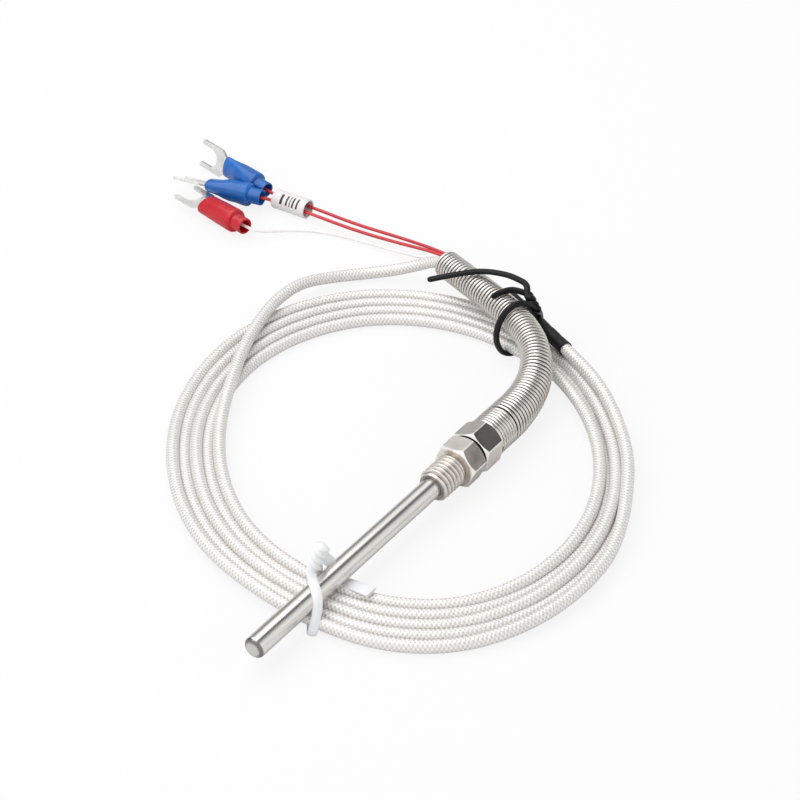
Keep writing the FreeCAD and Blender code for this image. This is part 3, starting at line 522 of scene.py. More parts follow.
def pale_floor():
    """Wide white floor that keeps a soft shadow."""
    corners = [(-1.0, -1.0), (1.0, -1.0), (1.0, 1.0), (-1.0, 1.0)]
    mesh = bpy.data.meshes.new("floor")
    points = [(x * FLOOR_REACH, y * FLOOR_REACH, FLOOR_LEVEL) for x, y in corners]
    mesh.from_pydata(points, [], [(0, 1, 2, 3)])
    material = bpy.data.materials.new("white_floor")
    material.use_nodes = True
    nodes = Nodes(material.node_tree)
    nodes.tree.nodes.remove(nodes.tree.nodes["Principled BSDF"])
    paint = nodes.add("ShaderNodeBsdfDiffuse", {"Color": (FLOOR_TONE, FLOOR_TONE, FLOOR_TONE, 1.0)})
    glow = nodes.add("ShaderNodeEmission", {"Color": (1.0, 1.0, 1.0, 1.0), "Strength": 1.0})
    seen = nodes.add("ShaderNodeLightPath").outputs["Is Camera Ray"]
    share = nodes.times(seen, FLOOR_GLOW)
    both = nodes.add("ShaderNodeMixShader", {0: share, 1: paint.outputs[0], 2: glow.outputs[0]})
    nodes.put(nodes.tree.nodes["Material Output"].inputs[0], both.outputs[0])
    mesh.materials.append(material)
    add_object("floor", mesh)


# Angle up from the probe's right-hand side, in half turns, and how bright the room is there
STUDIO_PANELS = [(0.04, 0.90), (0.10, 1.0), (0.16, 1.0), (0.26, 0.82), (0.34, 0.40), (0.39, 0.12),
                 (0.465, 0.10), (0.505, 0.45), (0.55, 1.0), (0.72, 1.0), (0.80, 0.55), (0.88, 0.28),
                 (1.0, 0.30)]


def studio_light():
    """White room whose panels and dark gaps run along the probe, and one soft lamp overhead."""
    world = bpy.data.worlds.new("white_studio")
    bpy.context.scene.world = world
    world.use_nodes = True
    nodes = Nodes(world.node_tree)
    direction = nodes.add("ShaderNodeTexCoord").outputs["Generated"]
    height = nodes.add("ShaderNodeSeparateXYZ", {0: direction}).outputs[2]
    around = nodes.math("DIVIDE", nodes.math("ARCTAN2", height, nodes.dot(direction, PROBE_RIGHT)), math.pi)
    panels = nodes.shades(around, *[(place, (level, level, level)) for place, level in STUDIO_PANELS])
    ahead = nodes.dot(direction, PROBE_AXIS)
    beyond = nodes.ramp(ahead, -0.5, 0.0)
    walls = nodes.add("ShaderNodeMix", {"Factor": beyond, 6: (1.0, 1.0, 1.0, 1.0), 7: panels},
                      data_type="RGBA")
    room = nodes.add("ShaderNodeBackground", {"Color": walls.outputs[2], "Strength": 1.0})
    white = nodes.add("ShaderNodeBackground", {"Color": (1.0, 1.0, 1.0, 1.0), "Strength": 1.0})
    seen = nodes.add("ShaderNodeLightPath").outputs["Is Camera Ray"]
    both = nodes.add("ShaderNodeMixShader", {0: seen, 1: room.outputs[0], 2: white.outputs[0]})
    nodes.put(nodes.tree.nodes["World Output"].inputs[0], both.outputs[0])
    panel = bpy.data.lights.new("ceiling_panel", "AREA")
    panel.shape = "RECTANGLE"
    panel.size, panel.size_y = LAMP_SIZE
    panel.energy = LAMP_POWER
    set_facing(add_object("ceiling_panel", panel), LAMP_PLACE, LAMP_AIM)


bpy.context.scene.view_settings.view_transform = "Standard"
photo_camera()
pale_floor()
studio_light()


# Cable: one spline from the nut through the spring and the coil's turns to the heat-shrink sleeve

COIL_CENTRE = (-3.0, 1.2)
COIL_OUTSIDE = ((-4.0, 0.7), 66.6, 53.9, math.radians(101.3))
COIL_INSIDE = ((-2.3, 1.6), 52.1, 41.8, math.radians(103.6))
COIL_STEP = 15.0
COIL_FIRST = 160.0
COIL_LAST = 1776.0
LEFT_SIDE = 180.0
SNUG_DISTANCE = 2.86
WHITE_TIE_HEADING = 247.0
BLACK_TIE_HEADING = 50.0
# Where the coil's edges bulge: heading and half width in degrees, and height in millimetres
INSIDE_BULGES = [(228.0, 40.0, 0.8), (140.0, 30.0, 0.6)]
OUTSIDE_BULGES = [(243.0, 34.0, -1.5), (272.0, 18.0, 0.5)]


def oval_reach(oval, heading):
    """Distance from the coil's middle to an oval, along a heading."""
    (middle_x, middle_y), long_radius, short_radius, turn = oval
    cosine, sine = math.cos(turn), math.sin(turn)

    def in_oval(x, y):
        return (x * cosine + y * sine) / long_radius, (y * cosine - x * sine) / short_radius

    step_x, step_y = in_oval(math.cos(heading), math.sin(heading))
    start_x, start_y = in_oval(COIL_CENTRE[0] - middle_x, COIL_CENTRE[1] - middle_y)
    square = step_x ** 2 + step_y ** 2
    linear = step_x * start_x + step_y * start_y
    rest = start_x ** 2 + start_y ** 2 - 1.0
    return (-linear + math.sqrt(linear ** 2 - square * rest)) / square


def hill(distance, width):
    """1 in the middle of a bump, falling smoothly to 0 at its half width."""
    return ease(1.0 - abs(distance) / width)


def bulged_reach(oval, bulges, degrees):
    """Distance from the coil's middle to an oval with its bulges, along a heading."""
    reach = oval_reach(oval, math.radians(degrees))
    for middle, width, height in bulges:
        reach += height * hill(degrees - middle, width)
    return reach


def coil_point(progress):
    """Control point of the coil after some degrees of winding.

    Five lanes lie side by side from the left round the front to the right, and four round the back. Where
    the room is short, every second turn rides higher on its neighbours.
    """
    turn = int((progress - LEFT_SIDE) // 360.0) + 1
    wound = (progress - LEFT_SIDE) % 360.0
    degrees = progress % 360.0
    heading = math.radians(degrees)
    inside = bulged_reach(COIL_INSIDE, INSIDE_BULGES, degrees)
    outside = bulged_reach(COIL_OUTSIDE, OUTSIDE_BULGES, degrees)
    room = outside - inside - CABLE_DIAMETER
    if turn < 1:
        lane, gap, rides = 0.0, room / 4.0, 1.0
        drop = 1.0 if degrees < 170.0 else 0.25
    else:
        to_four = ease((wound - 185.0) / 50.0)
        to_next = ease((wound - 290.0) / 70.0)
        lane = (turn - 1) * ((1.0 - to_four) / 4.0 + to_four / 3.0) * (1.0 - to_next) + turn / 4.0 * to_next
        gap = room * (((1.0 - to_four) / 4.0 + to_four / 3.0) * (1.0 - to_next) + to_next / 4.0)
        rides = 1.0 - to_next if turn % 2 == 1 else to_next
        drop = 0.0
    rise = math.sqrt(max(0.0, SNUG_DISTANCE ** 2 - gap ** 2)) * rides + drop
    lift = 0.3 * hill(degrees - WHITE_TIE_HEADING, 40.0) + 0.85 * hill(degrees - BLACK_TIE_HEADING, 45.0)
    reach = (inside + CABLE_DIAMETER / 2.0 + lane * room) / math.cos(math.radians(COIL_STEP / 2.0))
    return (COIL_CENTRE[0] + reach * math.cos(heading), COIL_CENTRE[1] + reach * math.sin(heading),
            CABLE_DIAMETER / 2.0 + rise + lift)


CABLE_SIDES = 24
BRAID_RELIEF = 0.055


def main_cable():
    """Mesh tube along the cable's spline, with a raised braid."""
    winding = np.arange(COIL_FIRST, COIL_LAST + 0.1, COIL_STEP)
    in_nut = [tuple(station(distance)) for distance in (CORE_END, SPRING_START, STUB_END)]
    points = in_nut + IN_SPRING + LEAD_OUT + [coil_point(progress) for progress in winding] + LEAD_IN
    points.append(tuple(CABLE_END))
    line = read_route("cable_route", points)
    length = along_line(line)[-1]
    line = evenly(line, int(length / (BRAID_PITCH / 2.0)) + 1)
    _, side, rise = frames_along(line)
    turn = np.arange(CABLE_SIDES) * FULL_TURN / CABLE_SIDES
    row = np.arange(len(line))
    raised = np.cos(row * math.pi)[:, None] * np.cos(turn * BRAID_ROWS)[None, :]
    radius = CABLE_DIAMETER / 2.0 - BRAID_RELIEF * np.maximum(0.0, -raised)
    rings = (line[:, None, :] + side[:, None, :] * (radius * np.cos(turn))[:, :, None]
             + rise[:, None, :] * (radius * np.sin(turn))[:, :, None])
    return skin("braided_cable", rings, CABLE_BRAID, 80.0), line, length


def wire_curve(name, points, diameter, finish):
    curve = route_curve(name, points)
    curve.bevel_depth = diameter / 2.0 * MM
    curve.bevel_resolution = 4
    curve.use_fill_caps = True
    curve.materials.append(finish)
    return add_object(name, curve)


def terminal_axis(name):
    heading, pitch = (math.radians(degrees) for degrees in TERMINALS[name][1:3])
    level = math.cos(pitch)
    return np.array([math.cos(heading) * level, math.sin(heading) * level, math.sin(pitch)])


def wire_end(name):
    """Last two points of a wire's route: before the boot's neck and inside the boot."""
    neck = np.array(TERMINALS[name][0])
    axis = terminal_axis(name)
    return [tuple(neck - axis * WIRE_APPROACH[name]), tuple(neck + axis * WIRE_DEPTH)]


def in_shrink(side, rise):
    shift = SHRINK_SIDE * side + UP * rise
    return [tuple(CABLE_END + shift), tuple(SHRINK_END + SHRINK_AXIS * WIRE_STRAIGHT + shift)]


def in_marker(side):
    shift = MARKER_SIDE * side
    end = MARKER_START + MARKER_AXIS * (MARKER_LENGTH + MARKER_EXIT)
    return [tuple(MARKER_START + shift), tuple(end + shift)]


RED_FAR = [(14.9, 73.2, 4.2), (7.0, 83.5, 2.5), (-4.2, 91.6, 1.7), (-15.8, 98.0, 1.6)]
RED_NEAR = [(14.2, 72.7, 4.2), (6.5, 82.7, 2.5), (-5.2, 89.2, 1.7), (-16.6, 95.4, 1.6)]
WHITE_ROUTE = [(13.2, 71.0, 6.2), (5.8, 78.0, 3.4), (-4.0, 84.6, 1.5), (-14.4, 91.4, 0.8), (-24.4, 96.1, 0.5),
               (-32.0, 96.9, 0.6), (-37.6, 95.0, 1.4), (-41.2, 92.9, 2.7)]
RED_WIRE = 0.9
WHITE_WIRE = 0.8

cable, cable_line, cable_length = main_cable()
far_route = in_shrink(0.2, -0.75) + RED_FAR + in_marker(1.4) + wire_end("blue_far")
near_route = in_shrink(-0.8, -0.6) + RED_NEAR + in_marker(-1.4) + wire_end("blue_near")
white_route = in_shrink(-0.3, 0.3) + WHITE_ROUTE + wire_end("red")
red_wire_far = wire_curve("red_wire_far", far_route, RED_WIRE, WIRE_RED)
red_wire_near = wire_curve("red_wire_near", near_route, RED_WIRE, WIRE_RED)
white_wire = wire_curve("white_wire_thin", white_route, WHITE_WIRE, WIRE_WHITE)


# Strain spring: a wound wire made by Geometry Nodes along the spring's line

SPRING_WIRE = 0.9
SPRING_TURNS = 72
SPRING_STEPS = 22
SPRING_SIDES = 10
SEAT_LENGTH = 9.4
TAPER_END = 33.4
SEAT_RADIUS = 5.05
TAPER_RADIUS = 3.75
MOUTH_RADIUS = 3.7
# Distances along the spring and the turns wound there, with one wider turn on the seat
WOUND_PLACES = [0.0, 5.9, 7.25]
WOUND_TURNS = [0.0, 6.4, 7.4]


def geometry_tree(name, numbers):
    """New Geometry Nodes tree with named number inputs and a material input."""
    tree = bpy.data.node_groups.new(name, "GeometryNodeTree")
    tree.interface.new_socket("Geometry", in_out="INPUT", socket_type="NodeSocketGeometry")
    for label, kind in numbers:
        tree.interface.new_socket(label, in_out="INPUT", socket_type=kind)
    tree.interface.new_socket("Finish", in_out="INPUT", socket_type="NodeSocketMaterial")
    tree.interface.new_socket("Geometry", in_out="OUTPUT", socket_type="NodeSocketGeometry")
    nodes = Nodes(tree)
    return nodes, nodes.add("NodeGroupInput"), nodes.add("NodeGroupOutput")


def close_tree(nodes, start, end, geometry):
    """Realize Instances, Set Shade Smooth and Set Material at the end of a tree."""
    real = nodes.add("GeometryNodeRealizeInstances", {0: geometry})
    shaded = nodes.add("GeometryNodeSetShadeSmooth", {"Geometry": real.outputs[0]})
    painted = nodes.add("GeometryNodeSetMaterial", {"Geometry": shaded.outputs[0],
                                                    "Material": start.outputs["Finish"]})
    nodes.put(end.inputs[0], painted.outputs[0])


def grown(name, base, nodes, values):
    """Plain mesh object from a base mesh and a Geometry Nodes tree with its inputs set."""
    carrier = add_object(name + "_carrier", base)
    modifier = carrier.modifiers.new("shape", "NODES")
    modifier.node_group = nodes.tree
    for item in nodes.tree.interface.items_tree:
        if item.in_out == "INPUT" and item.name in values:
            modifier[item.identifier] = values[item.name]
    shown = carrier.evaluated_get(bpy.context.evaluated_depsgraph_get())
    mesh = bpy.data.meshes.new_from_object(shown)
    carrier.modifiers.remove(modifier)
    bpy.data.objects.remove(carrier)
    mesh.name = name
    return add_object(name, mesh)


def named(nodes, name, kind):
    return nodes.add("GeometryNodeInputNamedAttribute", {"Name": name}, data_type=kind).outputs[0]


def scaled(nodes, vector, factor):
    """A vector times one number."""
    factors = nodes.add("ShaderNodeCombineXYZ", dict.fromkeys(range(3), factor)).outputs[0]
    return nodes.vector("MULTIPLY", vector, factors)


def spring_tree():
    """Wire wound round a line: each point of the line is moved out by its own radius and turn."""
    nodes, start, end = geometry_tree("wound_wire", [("Wire Radius", "NodeSocketFloat"),
                                                     ("Wire Sides", "NodeSocketInt")])
    line = nodes.add("GeometryNodeMeshToCurve", {"Mesh": start.outputs["Geometry"]})
    turn = named(nodes, "turn", "FLOAT")
    across = scaled(nodes, named(nodes, "side", "FLOAT_VECTOR"), nodes.math("COSINE", turn))
    upward = scaled(nodes, named(nodes, "rise", "FLOAT_VECTOR"), nodes.math("SINE", turn))
    wound = nodes.add("GeometryNodeSetPosition", {"Geometry": line.outputs[0],
                                                  "Offset": nodes.vector("ADD", across, upward)})
    outward = nodes.vector("NORMALIZE", nodes.vector("ADD", across, upward))
    place = nodes.add("GeometryNodeInputPosition").outputs[0]
    middle = nodes.add("GeometryNodeStoreNamedAttribute", {"Geometry": wound.outputs[0], "Name": "middle",
                                                           "Value": place}, data_type="FLOAT_VECTOR")
    ring = nodes.add("GeometryNodeCurvePrimitiveCircle", {"Resolution": start.outputs["Wire Sides"],
                                                          "Radius": start.outputs["Wire Radius"]})
    wire = nodes.add("GeometryNodeCurveToMesh", {"Curve": middle.outputs[0], "Profile Curve": ring.outputs[0],
                                                 "Fill Caps": True})
    from_middle = nodes.vector("SUBTRACT", place, named(nodes, "middle", "FLOAT_VECTOR"))
    along = nodes.add("ShaderNodeVectorMath", {0: from_middle, 1: outward}, operation="DOT_PRODUCT")
    reach = along.outputs["Value"]
    # How far each point faces out from the wire's middle; the wire's material paints shade where this is low
    shown = nodes.add("GeometryNodeStoreNamedAttribute", {
        "Geometry": wire.outputs[0], "Name": "outness",
        "Value": nodes.math("DIVIDE", reach, start.outputs["Wire Radius"])}, data_type="FLOAT")
    close_tree(nodes, start, end, shown.outputs[0])
    return nodes


def strain_spring():
    bend = read_route("spring_route", [station(STUB_END), station(STUB_END + SPRING_LEAD)] + SPRING_BEND)
    line = np.concatenate([station(SPRING_START + SPRING_WIRE / 2.0)[None, :], bend])
    total = along_line(line)[-1]
    line = evenly(line, SPRING_TURNS * SPRING_STEPS + 1)
    place = along_line(line)
    turns = np.interp(place, WOUND_PLACES + [total], WOUND_TURNS + [SPRING_TURNS])
    outside = np.interp(place, [0.0, SEAT_LENGTH, TAPER_END, total],
                        [SEAT_RADIUS, SEAT_RADIUS, TAPER_RADIUS, MOUTH_RADIUS])
    radius = outside - SPRING_WIRE / 2.0
    _, side, rise = frames_along(line)
    base = bpy.data.meshes.new("spring_line")
    base.from_pydata((line * MM).tolist(), [(index, index + 1) for index in range(len(line) - 1)], [])
    base.attributes.new("turn", "FLOAT", "POINT").data.foreach_set("value", turns * FULL_TURN)
    for name, vectors in (("side", side), ("rise", rise)):
        values = (vectors * radius[:, None] * MM).ravel()
        base.attributes.new(name, "FLOAT_VECTOR", "POINT").data.foreach_set("vector", values)
    made = grown("wound_strain_spring", base, spring_tree(), {
        "Wire Radius": SPRING_WIRE / 2.0 * MM, "Wire Sides": SPRING_SIDES, "Finish": SPRING_STEEL})
    for name in ("turn", "side", "rise", "middle"):
        made.data.attributes.remove(made.data.attributes[name])
    return made


# Gland screw and spring nut

HEX_FLATS = 10.0
HEX_BEVEL = 0.68
HEX_CORNER = 0.32
# Painted reflection: how dark each flat face of a hexagon is painted, from the first corner round, chosen to
# look as it does in the photo;
# a value below 0 paints the bevels brighter, a painted highlight
HEX_PAINTED_REFLECTION = (0.0, 0.12, 0.5, 0.3, 0.0, 1.0)
# Painted highlight on the bevels
HEX_BEVEL_PAINTED_HIGHLIGHT = -0.7
# Painted shade on the end that lies in the gap between the hexagons
HEX_GAP_PAINTED_SHADE = 0.85
HEX_END_INSET = 0.15
THREAD_LENGTH = 8.2
THREAD_PITCH = 1.25
THREAD_ROOT = 3.28
THREAD_DEPTH = 0.70


def probe_place(distance, roll_degrees=0.0):
    """Matrix from a turned piece's own axes to the probe, in metres; its Z runs along the probe."""
    roll = math.radians(roll_degrees)
    across = PROBE_RIGHT * math.cos(roll) + UP * math.sin(roll)
    beside = np.cross(PROBE_AXIS, across)
    place = Matrix.Identity(4)
    for row in range(3):
        place[row][0], place[row][1], place[row][2] = across[row], beside[row], PROBE_AXIS[row]
        place[row][3] = station(distance)[row] * MM
    return place


def turned(name, profile, finish, sides=64, dull=0.0):
    """Ring of a closed profile of radius and height, about Z."""
    turn = np.arange(sides) * FULL_TURN / sides
    rings = [[(radius * math.cos(angle), radius * math.sin(angle), height) for angle in turn]
             for radius, height in profile]
    made = skin(name, rings, finish, 32.0, True)
    # Painted shade: one amount for every face of the ring
    shades = made.data.attributes.new("dull", "FLOAT", "FACE").data
    shades.foreach_set("value", [dull] * len(made.data.polygons))
    return made


CORNER_STEPS = 7
FLAT_STEPS = 13
HEX_FRONT_ROW, HEX_FLAT_ROW, HEX_REAR_ROW = 0, 3, 6


def hexagon_outline():
    """Points of a hexagon's outline with rounded corners."""
    flat = HEX_FLATS / 2.0
    outline = []
    for corner in range(6):
        middle = corner * FULL_TURN / 6.0
        centre = (flat - HEX_CORNER) / math.cos(FULL_TURN / 12.0)
        for step in range(CORNER_STEPS):
            angle = middle + FULL_TURN / 12.0 * (2.0 * step / (CORNER_STEPS - 1) - 1.0)
            outline.append((centre * math.cos(middle) + HEX_CORNER * math.cos(angle),
                            centre * math.sin(middle) + HEX_CORNER * math.sin(angle)))
        here = np.array(outline[-1])
        turn = FULL_TURN / 6.0
        first = outline[-CORNER_STEPS]
        after = np.array([first[0] * math.cos(turn) - first[1] * math.sin(turn),
                          first[0] * math.sin(turn) + first[1] * math.cos(turn)])
        for step in range(1, FLAT_STEPS):
            outline.append(tuple(here + (after - here) * step / FLAT_STEPS))
    return outline


def hexagon_head(name, start, length, bore, finish, darkest_painted_reflection, gap_row):
    """Hexagon with both ends turned to a bevel, so that its faces end in arcs.

    The end in the gap between the two hexagons has painted shade, each flat face a painted reflection and the
    bevels a painted highlight.
    """
    outline = hexagon_outline()
    edge = HEX_FLATS / 2.0 - HEX_END_INSET
    slope = HEX_BEVEL / (HEX_FLATS / math.sqrt(3.0) - edge)

    def ring(radius, height):
        return [(x * radius / math.hypot(x, y), y * radius / math.hypot(x, y), height) for x, y in outline]

    def rim(share, height, outward):
        made = []
        for x, y in outline:
            far = math.hypot(x, y)
            reach = edge + (far - edge) * share
            made.append((x * reach / far, y * reach / far, height + outward * (reach - edge) * slope))
        return made

    end = start + length
    rings = [ring(bore, start), ring(edge, start), rim(0.5, start, 1.0), rim(1.0, start, 1.0),
             rim(1.0, end, -1.0), rim(0.5, end, -1.0), ring(edge, end), ring(bore, end)]
    made = skin(name, rings, finish, 24.0, True)
    # Painted light per face: highlight on the bevels, shade in the gap, a reflection on each flat face
    dull = np.full((len(rings), len(outline)), HEX_BEVEL_PAINTED_HIGHLIGHT)
    dull[[HEX_FRONT_ROW, HEX_REAR_ROW]] = 0.0
    dull[gap_row] = HEX_GAP_PAINTED_SHADE
    for face, value in enumerate(HEX_PAINTED_REFLECTION):
        first = face * (CORNER_STEPS + FLAT_STEPS - 1) + CORNER_STEPS - 1
        dull[HEX_FLAT_ROW, first:first + FLAT_STEPS] = value * darkest_painted_reflection
    made.data.attributes.new("dull", "FLOAT", "FACE").data.foreach_set("value", dull.ravel())
    return made


def thread_tree():
    """Screw surface: a grid rolled into a cylinder, with a ridge that climbs one pitch in each turn."""
    nodes, start, end = geometry_tree("screw_thread", [
        ("Length", "NodeSocketFloat"), ("Pitch", "NodeSocketFloat"), ("Root Radius", "NodeSocketFloat"),
        ("Depth", "NodeSocketFloat"), ("Rows", "NodeSocketInt"), ("Columns", "NodeSocketInt")])
    length, pitch = start.outputs["Length"], start.outputs["Pitch"]
    span = nodes.plus(length, pitch)
    grid = nodes.add("GeometryNodeMeshGrid", {
        "Size X": span, "Size Y": 1.0, "Vertices X": start.outputs["Rows"],
        "Vertices Y": start.outputs["Columns"]})
    place = nodes.add("ShaderNodeSeparateXYZ", {0: nodes.add("GeometryNodeInputPosition").outputs[0]})
    turn = nodes.plus(place.outputs[1], 0.5)
    level = nodes.minus(nodes.plus(place.outputs[0], nodes.times(span, 0.5)), pitch)
    climbed = nodes.plus(level, nodes.times(turn, pitch))
    height = nodes.math("MAXIMUM", 0.0, nodes.math("MINIMUM", climbed, length))
    wave = nodes.math("PINGPONG", nodes.math("DIVIDE", nodes.plus(level, pitch), pitch), 0.5)
    ridge = nodes.ramp(wave, 0.13, 0.43)
    lead = nodes.ramp(height, 0.0, nodes.times(pitch, 0.7))
    fade = nodes.ramp(nodes.minus(length, height), 0.0, nodes.times(pitch, 0.5))
    raised = nodes.times(nodes.times(ridge, start.outputs["Depth"]), nodes.times(lead, fade))
    radius = nodes.plus(start.outputs["Root Radius"], raised)
    angle = nodes.times(turn, FULL_TURN)
    rolled = nodes.add("ShaderNodeCombineXYZ", {0: nodes.times(radius, nodes.math("COSINE", angle)),
                                                1: nodes.times(radius, nodes.math("SINE", angle)),
                                                2: height})
    # Painted shade in the thread's grooves, none on its crests
    groove_painted_shade = nodes.times(nodes.minus(1.0, ridge), 0.76)
    toned = nodes.add("GeometryNodeStoreNamedAttribute", {"Geometry": grid.outputs[0], "Name": "dull",
                                                          "Value": groove_painted_shade}, data_type="FLOAT", domain="FACE")
    moved = nodes.add("GeometryNodeSetPosition", {"Geometry": toned.outputs[0],
                                                  "Position": rolled.outputs[0]})
    closed = nodes.add("GeometryNodeMergeByDistance", {"Geometry": moved.outputs[0], "Distance": 0.000002})
    close_tree(nodes, start, end, closed.outputs[0])
    return nodes


def close_sleeve(piece, radius, depth):
    """Close an open tube about Z: its rims are folded inward and joined by an inner wall."""
    shape = bmesh.new()
    shape.from_mesh(piece.data)
    middle = sum(vertex.co.z for vertex in shape.verts) / len(shape.verts)
    rims = [edge for edge in shape.edges if edge.is_boundary]
    folded = bmesh.ops.extrude_edge_only(shape, edges=rims)["geom"]
    for item in folded:
        if isinstance(item, bmesh.types.BMVert):
            share = radius * MM / math.hypot(item.co.x, item.co.y)
            item.co.x *= share
            item.co.y *= share
            item.co.z += math.copysign(depth * MM, middle - item.co.z)
    inner = [item for item in folded if isinstance(item, bmesh.types.BMEdge) and item.is_boundary]
    bmesh.ops.bridge_loops(shape, edges=inner)
    bmesh.ops.recalc_face_normals(shape, faces=shape.faces)
    # Bridging leaves its faces in no fixed order, so they are sorted by place
    by_place = sorted(shape.faces, key=lambda face: tuple(face.calc_center_median()))
    rank = {face: number for number, face in enumerate(by_place)}
    shape.faces.sort(key=lambda face: rank[face])
    shape.to_mesh(piece.data)
    shape.free()


def gland_screw():
    steps = 10
    rows = int(round((THREAD_LENGTH + THREAD_PITCH) / THREAD_PITCH * steps)) + 1
    length = (rows - 1) * THREAD_PITCH / steps - THREAD_PITCH
    thread = grown("gland_thread", bpy.data.meshes.new("thread_seed"), thread_tree(), {
        "Length": length * MM, "Pitch": THREAD_PITCH * MM, "Root Radius": THREAD_ROOT * MM,
        "Depth": THREAD_DEPTH * MM, "Rows": rows, "Columns": 73, "Finish": FITTING_STEEL})
    close_sleeve(thread, THREAD_ROOT - 0.28, 0.15)
    bore = 2.58
    # The shank under the thread gets painted shade, as dark as the thread's grooves
    shank = turned("gland_shank", [(bore, 0.0), (THREAD_ROOT - 0.12, 0.0), (THREAD_ROOT - 0.01, 0.11),
                                   (THREAD_ROOT - 0.01, 9.1), (bore, 9.1)], FITTING_STEEL, 64, 0.75)
    washer = turned("gland_washer_face", [(bore, 8.65), (4.72, 8.65), (4.8, 8.73), (4.8, 9.0), (bore, 9.0)],
                    FITTING_STEEL, 96)
    head = hexagon_head("gland_head", 8.8, 5.5, bore, FITTING_STEEL, 0.80, HEX_REAR_ROW)
    made = joined("threaded_gland", [head, shank, washer, thread])
    made.data.transform(probe_place(GLAND_START, GLAND_ROLL))
    return made


def spring_nut():
    head = hexagon_head("nut_head", 0.0, 6.4, 2.6, FITTING_STEEL, 0.90, HEX_FRONT_ROW)
    stub = turned("nut_stub", [(1.6, 6.0), (4.1, 6.0), (4.1, 15.2), (3.9, 15.4), (1.6, 15.4)], FITTING_STEEL)
    made = joined("hexagon_spring_nut", [head, stub])
    made.data.transform(probe_place(NUT_START, NUT_ROLL))
    return made


spring = strain_spring()
gland = gland_screw()
nut = spring_nut()


# Heat-shrink sleeve and marker sleeve

FLOOR_CLEAR = 0.01


def oval_ring(centre, across, upward, half_width, half_height, sides=40, square=2.0):
    """Ring of points on an oval; a power above 2 makes it fuller."""
    points = []
    for index in range(sides):
        angle = FULL_TURN * index / sides
        x = math.copysign(abs(math.cos(angle)) ** (2.0 / square), math.cos(angle)) * half_width
        y = math.copysign(abs(math.sin(angle)) ** (2.0 / square), math.sin(angle)) * half_height
        points.append(centre + across * x + upward * y)
    return points


def above_floor(rings):
    """Rings with every point that would lie in the floor set on it."""
    rings = np.array(rings)
    rings[:, :, 2] = np.maximum(rings[:, :, 2], FLOOR_CLEAR)
    return rings


SHRINK_RADIUS = 1.74
# Share of the sleeve's length, half width and half height of its inner wall
SHRINK_INSIDE = [(1.0, 1.6, 1.26), (0.97, 1.5, 1.2), (0.03, 1.52, 1.52), (0.0, 1.62, 1.62)]


def heat_shrink():
    """Black sleeve drawn down on the cable's end and flattened over the wires, cut off slightly askew."""
    rings = []
    steps = 44
    for index in range(steps + 1):
        share = index / steps
        centre = SHRINK_START + SHRINK_AXIS * (share * SHRINK_LENGTH)
        flat = ease((share - 0.45) / 0.3)
        ripple = 0.045 * math.sin(share * 31.0) + 0.03 * math.sin(share * 67.0 + 1.0)
        flare = 0.05 * math.exp(-share * 40.0)
        width = SHRINK_RADIUS + 0.10 * flat + ripple * 0.6 + flare
        height = SHRINK_RADIUS - 0.24 * flat + ripple + flare
        ring = np.array(oval_ring(centre, SHRINK_SIDE, UP, width, height))
        if index in (0, steps):
            ring += SHRINK_AXIS[None, :] * (0.08 * np.sin(np.arange(40) * FULL_TURN / 40 + 0.6))[:, None]
        rings.append(ring)
    inner = []
    for share, width, height in SHRINK_INSIDE:
        centre = SHRINK_START + SHRINK_AXIS * (share * SHRINK_LENGTH)
        inner.append(oval_ring(centre, SHRINK_SIDE, UP, width, height))
    return skin("shrunk_sleeve", rings + inner, SHRINK_BLACK, 50.0, True)


def marker_sleeve():
    """White tube, a little squeezed, with a clear bore for the two red wires."""
    outside, inside = [], []
    steps = 16
    for index in range(steps + 1):
        share = index / steps
        centre = MARKER_START + MARKER_AXIS * (share * MARKER_LENGTH)
        edge = 0.05 * (ease(1.0 - share * 24.0) + ease((share - 1.0) * 24.0 + 1.0))
        squeeze = 0.10 * math.sin(share * math.pi)
        outside.append(oval_ring(centre, MARKER_SIDE, UP, 2.76 - edge, 2.66 - squeeze - edge, 56))
        inside.append(oval_ring(centre, MARKER_SIDE, UP, 2.34 + edge, 2.24 - squeeze + edge, 56))
    return skin("code_marker_sleeve", above_floor(outside + inside[::-1]), MARKER_WHITE, 45.0, True)


# Fork terminals and boots

def terminal_frame(name):
    """Neck end, across, upward and axis of a terminal."""
    neck, _, _, roll = TERMINALS[name]
    axis = terminal_axis(name)
    across, upward = sides_of(axis)
    roll = math.radians(roll)
    first = across * math.cos(roll) + upward * math.sin(roll)
    return np.array(neck), first, np.cross(axis, first), axis


# Height on the boot, half width, half height: the bore of the neck, the outside, the mouth
BOOT_SHAPE = [
    (3.7, 1.66, 1.66), (0.35, 1.74, 1.74), (0.06, 1.84, 1.84), (0.0, 1.98, 1.98), (0.05, 2.13, 2.13),
    (0.25, 2.21, 2.21), (1.8, 2.19, 2.19), (3.3, 2.20, 2.20), (3.56, 2.32, 2.32), (3.68, 2.80, 2.80),
    (3.82, 3.06, 3.06), (4.15, 3.21, 3.21), (5.0, 3.25, 3.25), (7.2, 3.26, 3.18), (9.4, 3.28, 3.06),
    (10.9, 3.32, 3.00), (12.5, 3.40, 2.88), (13.9, 3.48, 2.74), (15.2, 3.54, 2.62), (15.8, 3.52, 2.52),
    (16.0, 3.40, 2.36), (15.9, 3.22, 2.18), (15.2, 3.02, 1.95), (13.4, 2.7, 1.6), (11.4, 2.25, 1.2)]
BOOT_SIDES = 48
BOOT_OUTSIDE = range(5, 20)
BOOT_SHOULDER = 9
# Place along the boot, half length and depth of the crimp's two dents
BOOT_DENTS = [(7.6, 1.5, 0.075), (12.6, 1.2, 0.05)]
# How far the crimp narrows and flattens each mouth: shares of its half width and half height
BOOT_MOUTH = {"blue_far": (0.86, 0.6), "blue_near": (1.04, 0.76), "red": (1.0, 0.9)}


